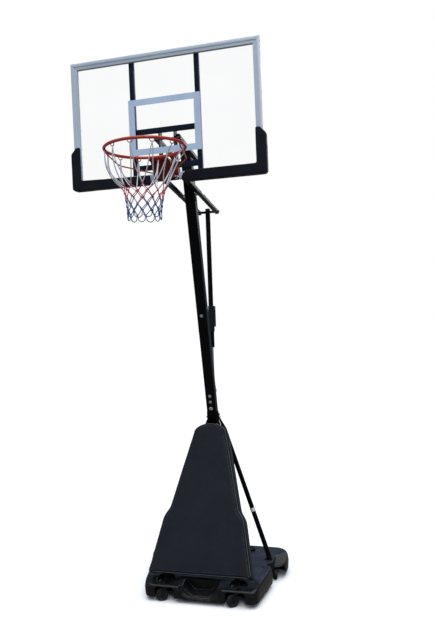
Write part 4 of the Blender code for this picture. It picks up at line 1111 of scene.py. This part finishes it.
for x in (-0.16, 0.0, 0.16):
    pocket([(x - 0.030, 0.640), (x + 0.030, 0.640), (x + 0.030, 1.030), (x - 0.030, 1.030)], 0.1425, 0.2)


def front_recess(levels_up, front, rear):
    """A U-shaped hollow in the front wall; levels_up are (height, half width)."""
    rings = []
    for z, half_x in levels_up:
        rings.append([at(x, y, z) for x, y in ((-half_x, front), (half_x, front), (half_x * 0.94, rear),
                                               (-half_x * 0.94, rear))])
    cut(tank, skin(rings))


BEFORE_BASE = 0.250
front_recess([(0.043, 0.055), (0.047, 0.084), (0.056, 0.110), (0.074, 0.138), (0.100, 0.158), (0.140, 0.176),
              (0.180, 0.188)], BEFORE_BASE, 0.349)
front_recess([(0.058, 0.058), (0.066, 0.074), (0.084, 0.100), (0.110, 0.124), (0.140, 0.140),
              (0.180, 0.150)], BEFORE_BASE, 0.445)
CAP_X, CAP_BEHIND = 0.250, 1.000
cut(tank, lathe(at(CAP_X, CAP_BEHIND, 0.120), Z, [(0, 0.0265), (0.1, 0.0265)], 32))
remeshed(tank, 0.0052, 5)

# The filler cap: a plug, a ribbed rim, a dished top and a bar to turn it by. Levels are (height, radius).
CAP_PLUG = [(0.0, 0.0225), (0.0010, 0.0235), (0.0073, 0.0235)]
CAP_RIM = [(0.0073, 0.0325), (0.0085, 0.0340), (0.0195, 0.0338), (0.0225, 0.0318)]
CAP_TOP = [(0.0238, 0.0290), (0.0238, 0.0230), (0.0215, 0.0215)]
CAP_SIDES, RIB_DEPTH = 96, 0.0011
cap_seat = at(CAP_X, CAP_BEHIND, 0.143)
cap_rings = []
for level in CAP_PLUG + CAP_RIM + CAP_TOP:
    height_up, radius = level
    rib = RIB_DEPTH if level in CAP_RIM else 0.0
    ring_points = []
    for i, (x, y) in enumerate(circle(1.0, CAP_SIDES)):
        r = radius - (rib if i % 4 > 1 else 0.0)
        ring_points.append(cap_seat + Vector((r * x, r * y, height_up)))
    cap_rings.append(ring_points)
cap = skin(cap_rings)
absorb(cap, box_mesh(cap_seat + Vector((-0.0200, -0.0032, 0.0210)),
                     cap_seat + Vector((0.0200, 0.0032, 0.0240))))
make("fill_cap_screw", cap, NYLON, "fill_cap", ["fill_cap"], angle=50)


# Casters: a wheel with a crowned tread, dished sides and spokes, and its softened fork.

def caster(place):
    node_name = f"caster_{place}_wheel"
    low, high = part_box(node_name)
    centre = (low + high) / 2
    roll = Vector(joints[f"caster_{place}_roll"]["axis"]).normalized()
    half, radius = 0.012, 0.045
    profile = [(-half, 0.0062), (-half, 0.0120), (-half + 0.0040, 0.0140), (-half + 0.0045, 0.0300),
               (-half + 0.0006, 0.0335), (-half, 0.0360), (-half + 0.0004, radius - 0.0040),
               (-half + 0.0020, radius - 0.0012), (-half + 0.0050, radius - 0.0002), (0.0, radius)]
    mirrored = [(-s, r) for s, r in reversed(profile[:-1])]
    bm = lathe(centre, roll, profile + mirrored, 56, loop=True)
    u, v = square_to(roll)
    for k in range(6):
        a = math.pi / 3 * k
        out, across = u * math.cos(a) + v * math.sin(a), v * math.cos(a) - u * math.sin(a)
        absorb(bm, skin([ring_at(centre + out * reach, across, roll, rounded(wide, half - 0.0016, 0.001, 2))
                         for reach, wide in ((0.0125, 0.0032), (0.0335, 0.0022))]))
    make(node_name + "_moulding", bm, WHEEL, f"caster_{place}_roller", [node_name], angle=40)
    fork_name = f"caster_{place}_fork"
    fork = make(fork_name + "_moulding", node_copy(fork_name), NYLON, f"caster_{place}_swivel", [fork_name])
    remeshed(fork, 0.0013, 3)


for place in ("front_left", "front_right", "rear_left", "rear_right"):
    caster(place)


# --- Pole pad ---
# A foam tray in grained vinyl, swelled as cloth, then seamed, piped and stitched.

pad_bottom, pad_top = at(0, 0.355, 0.197), at(0, 0.865, 1.190)
pad_up = (pad_top - pad_bottom).normalized()
pad_in = -X.cross(pad_up)
pad_length = (pad_top - pad_bottom).length
PAD_FACE = -0.020
PAD_THICK = 0.028
PAD_BACK = PAD_FACE + PAD_THICK
PAD_WALL = 0.018
PAD_EDGE_INSET = 0.0095
PAD_DOME = 0.085
PAD_SHOULDER = pad_length - PAD_DOME
DEPTH_BOTTOM, DEPTH_SHOULDER, DEPTH_TOP = 0.0845, 0.1145, 0.0285


def pad_depth(s):
    """How far behind the leaning plane the side walls reach, at a distance up the pad."""
    if s < PAD_SHOULDER:
        return DEPTH_BOTTOM + (DEPTH_SHOULDER - DEPTH_BOTTOM) * max(0.0, s) / PAD_SHOULDER
    left = max(0.0, 1 - (s - PAD_SHOULDER) / PAD_DOME)
    return DEPTH_TOP + (DEPTH_SHOULDER - DEPTH_TOP) * left ** 1.8


def pad_outline(inset, foot=0.0, shrink=0.0):
    """The outline in (x, distance up the pad), raised at its foot, narrowed, then pulled in by a margin."""
    top_half = 0.136
    shoulder_half, rise = top_half - shrink, PAD_DOME - shrink
    half = [(0.342, foot), (0.364, foot + 0.0005), (0.375, foot + 0.004), (0.3820, foot + 0.014),
            (0.3810, foot + 0.030), (0.373, 0.070), (0.318, 0.360), (0.3085, 0.398), (0.292, 0.430),
            (0.272, 0.460), (0.262, 0.490), (0.200, 0.760), (top_half, PAD_SHOULDER)]
    dome = [(shoulder_half * math.cos(a), PAD_SHOULDER + rise * math.sin(a))
            for a in (0.25, 0.5, 0.75, 1.0, 1.25)]
    right = [(x - shrink, s) for x, s in half] + dome
    points = [Vector((x, s, 0)) for x, s in right]
    points += [Vector((0, PAD_SHOULDER + rise, 0))] + [Vector((-x, s, 0)) for x, s in reversed(right)]
    line = smooth_line(points, 4, closed=True)
    pulled = []
    for i, p in enumerate(line):
        tangent = (line[(i + 1) % len(line)] - line[i - 1]).normalized()
        pulled.append(p + Vector((-tangent.y, tangent.x, 0)) * inset)
    return pulled


def on_pad(p, depth):
    return pad_bottom + X * p.x + pad_up * p.y + pad_in * depth


SWELL_FRAMES = 20


def inflate(piece, voxel, pressure, cap, back_cap):
    """Swell a closed piece as cloth over foam, moving no point further than its cap."""
    remeshed(piece, voxel, 2)
    rest = [v.co.copy() for v in piece.data.vertices]
    cloth = piece.modifiers.new("cloth", "CLOTH")
    settings = cloth.settings
    settings.quality, settings.mass = 4, 0.4
    settings.tension_stiffness = settings.compression_stiffness = 12
    settings.shear_stiffness, settings.bending_stiffness = 6, 0.6
    settings.shrink_min = -0.012
    settings.use_pressure, settings.uniform_pressure_force = True, pressure
    settings.effector_weights.gravity = 0
    cloth.collision_settings.use_collision = False
    scene = bpy.context.scene
    for step in range(1, SWELL_FRAMES + 1):
        scene.frame_set(step)
    evaluated = piece.evaluated_get(bpy.context.evaluated_depsgraph_get())
    moved = [v.co.copy() for v in evaluated.data.vertices]
    piece.modifiers.clear()
    scene.frame_set(1)
    for vertex, start, end in zip(piece.data.vertices, rest, moved):
        shift = end - start
        depth = (start - pad_bottom).dot(pad_in)
        limit = back_cap if depth > PAD_FACE + PAD_THICK * 0.6 else cap
        if shift.length > limit:
            shift *= limit / shift.length
        vertex.co = start + shift
    return piece


front_line = [on_pad(p, PAD_FACE + 0.0025) for p in pad_outline(0.003 + PAD_EDGE_INSET)]
middle_line = [on_pad(p, 0.0) for p in pad_outline(0.0015)]
back_line = [on_pad(p, pad_depth(p.y) - 0.001) for p in pad_outline(0.0025)]
inner_line = [on_pad(p, pad_depth(p.y) - 0.001) for p in pad_outline(0.0, PAD_WALL, PAD_WALL - 0.001)]
hollow_line = [on_pad(p, PAD_BACK) for p in pad_outline(0.0, PAD_WALL, PAD_WALL + PAD_EDGE_INSET)]
tray = skin([front_line, middle_line, back_line, inner_line, hollow_line])
pad = make("pole_pad_cover", tray, VINYL, "stand", ["pole_pad"])

# The tray is open below.
opening = [Vector((x, s, 0)) for x, s in ((0.338, -0.03), (0.338, 0.05), (-0.338, 0.05), (-0.338, -0.03))]
cut(pad, skin([[on_pad(p, depth) for p in opening] for depth in (PAD_BACK, 0.2)]))
inflate(pad, 0.0065, 4.0, 0.0055, 0.0010)

# The sewn margin: the mesh is refined once, then the cover dips along a line 16 mm inside the edge.
MARGIN_CELL = 0.02
margin = pad_outline(0.016 + PAD_EDGE_INSET)
grid = {}
for p in margin:
    grid.setdefault((round(p.x / MARGIN_CELL), round(p.y / MARGIN_CELL)), []).append(p)


def margin_distance(x, s):
    """How far a point of the face is from the sewn line; 1 m where the line isn't near."""
    cx, cy = round(x / MARGIN_CELL), round(s / MARGIN_CELL)
    near = [p for i in (-1, 0, 1) for j in (-1, 0, 1) for p in grid.get((cx + i, cy + j), ())]
    return min((math.hypot(p.x - x, p.y - s) for p in near), default=1.0)


refine = pad.modifiers.new("finer", "SUBSURF")
refine.levels = refine.render_levels = 1
baked(pad)
SEAM_DIP, SEAM_WIDTH = 0.0022, 0.0055
for vertex in pad.data.vertices:
    offset = vertex.co - pad_bottom
    if offset.dot(pad_in) < PAD_FACE + 0.010:
        gap = margin_distance(offset.x, offset.dot(pad_up))
        vertex.co += pad_in * SEAM_DIP * math.exp(-(gap / SEAM_WIDTH) ** 2)
pad.data.shade_smooth()

# The piping follows the front edge and tucks under at the foot.
piping = bmesh.new()
edge = pad_outline(PAD_EDGE_INSET + 0.0015)
tucked = [PAD_FACE + 0.0030 + 0.0080 * max(0.0, 1 - max(0.0, p.y - 0.010) / 0.020) for p in edge]
tube(piping, [on_pad(p, depth) for p, depth in zip(edge, tucked)], 0.0030, 8, closed=True)
make("pole_pad_piping", piping, PIPING, "stand", slot="dark_vinyl", angle=80)

stitches = bmesh.new()
line = [on_pad(p, PAD_FACE) for p in margin]
STITCH, STITCH_GAP = 0.0052, 0.0026
lengths = [(line[(i + 1) % len(line)] - line[i]).length for i in range(len(line))]
total = sum(lengths)
count = int(total / (STITCH + STITCH_GAP))
cover = BVHTree.FromObject(pad, bpy.context.evaluated_depsgraph_get())


def walk(distance):
    """The point a distance along the sewn line."""
    distance %= total
    for i, length in enumerate(lengths):
        if distance <= length:
            return line[i].lerp(line[(i + 1) % len(line)], distance / length)
        distance -= length
    return line[0]


def on_cover(point):
    hit = cover.ray_cast(point - pad_in * 0.05, pad_in)
    return hit[0] if hit[0] is not None else point


for k in range(count):
    start = k * total / count
    points = [on_cover(walk(start + STITCH * t)) + pad_in * sink
              for t, sink in ((0.0, 0.0004), (0.3, -0.0006), (0.7, -0.0006), (1.0, 0.0004))]
    tube(stitches, points, 0.00055, 5)
make("pole_pad_stitches", stitches, THREAD, "stand", slot="dark_vinyl", angle=80)


# --- Floor, light and camera ---

def stage_floor():
    """A pale floor: white where the camera sees it, darker in the light that it throws back."""
    bm = bmesh.new()
    bmesh.ops.create_grid(bm, x_segments=2, y_segments=2, size=40)
    mesh = mesh_from("floor", bm)
    floor = placed("floor", mesh)
    made = Finish("pale floor")
    seen = made.add("LightPath").outputs["Is Camera Ray"]
    white = made.mix(made.noise(0.6, 2), (0.97, 0.97, 0.97), (0.985, 0.985, 0.985))
    made.set("Base Color", made.mix(seen, (0.20, 0.185, 0.165), white))
    made.set("Roughness", made.span(made.noise(3.0, 2), 0.3, 0.7, 0.85, 0.95))
    made.set("Specular IOR Level", 0.1)
    mesh.materials.append(made.material)


def area_light(name, position, target, size, power, colour=(1, 1, 1)):
    data = bpy.data.lights.new(name, "AREA")
    data.shape, data.size, data.energy, data.color = "DISK", size, power, colour
    light = placed(name, data)
    light.location = position
    light.rotation_mode = "QUATERNION"
    light.rotation_quaternion = (Vector(target) - Vector(position)).to_track_quat("-Z", "Y")


stage_floor()
overhead = bpy.data.lights.new("overhead", "SUN")
overhead.energy, overhead.angle = 3.05, 1.2
placed("overhead", overhead).rotation_euler = (0.22, 0.10, 0)
area_light("key", (3.2, -6.5, 6.0), (0, 0, 1.9), 2.2, 95)
area_light("fill", (-6.0, -4.5, 3.0), (0, 0, 1.8), 2.6, 45, (0.95, 0.98, 1.0))
area_light("rear", (2.0, 6.0, 5.0), (0, 0, 2.2), 3.0, 60)

# The backdrop is white to the camera and gives the object a dim, bluish light.
world = bpy.data.worlds.new("studio")
bpy.context.scene.world = world
world.use_nodes = True
background = world.node_tree.nodes["Background"]
seen = world.node_tree.nodes.new("ShaderNodeLightPath").outputs["Is Camera Ray"]
sky = world.node_tree.nodes.new("ShaderNodeMix")
sky.data_type = "RGBA"
sky.inputs[6].default_value = (0.16, 0.21, 0.29, 1.0)
sky.inputs[7].default_value = (1.0, 1.0, 1.0, 1.0)
world.node_tree.links.new(seen, sky.inputs["Factor"])
world.node_tree.links.new(sky.outputs[2], background.inputs["Color"])
bpy.context.scene.view_settings.view_transform = "Standard"

# The camera stands in front, to the right of the ring, turned and leaned as in the picture.
CAMERA_PLACE = (1.242, -4.0608, 2.115)
azimuth, elevation, roll = math.radians(15.33), math.radians(1.06), math.radians(-2.47)
level_back = Vector((math.sin(azimuth), -math.cos(azimuth), 0))
back = level_back * math.cos(elevation) + Z * math.sin(elevation)
right = Z.cross(back).normalized()
up = back.cross(right)
camera_right = right * math.cos(roll) + up * math.sin(roll)
camera_up = up * math.cos(roll) - right * math.sin(roll)
camera_data = bpy.data.cameras.new("camera")
camera_data.sensor_width = 36.0
camera_data.lens = 35.3165
camera_data.shift_x, camera_data.shift_y = 0.02579, 0.001424
camera_data.clip_end = 200
camera = placed("camera", camera_data)
turned = Matrix((camera_right, camera_up, back)).transposed().to_4x4()
camera.matrix_world = Matrix.Translation(CAMERA_PLACE) @ turned
bpy.context.scene.camera = camera
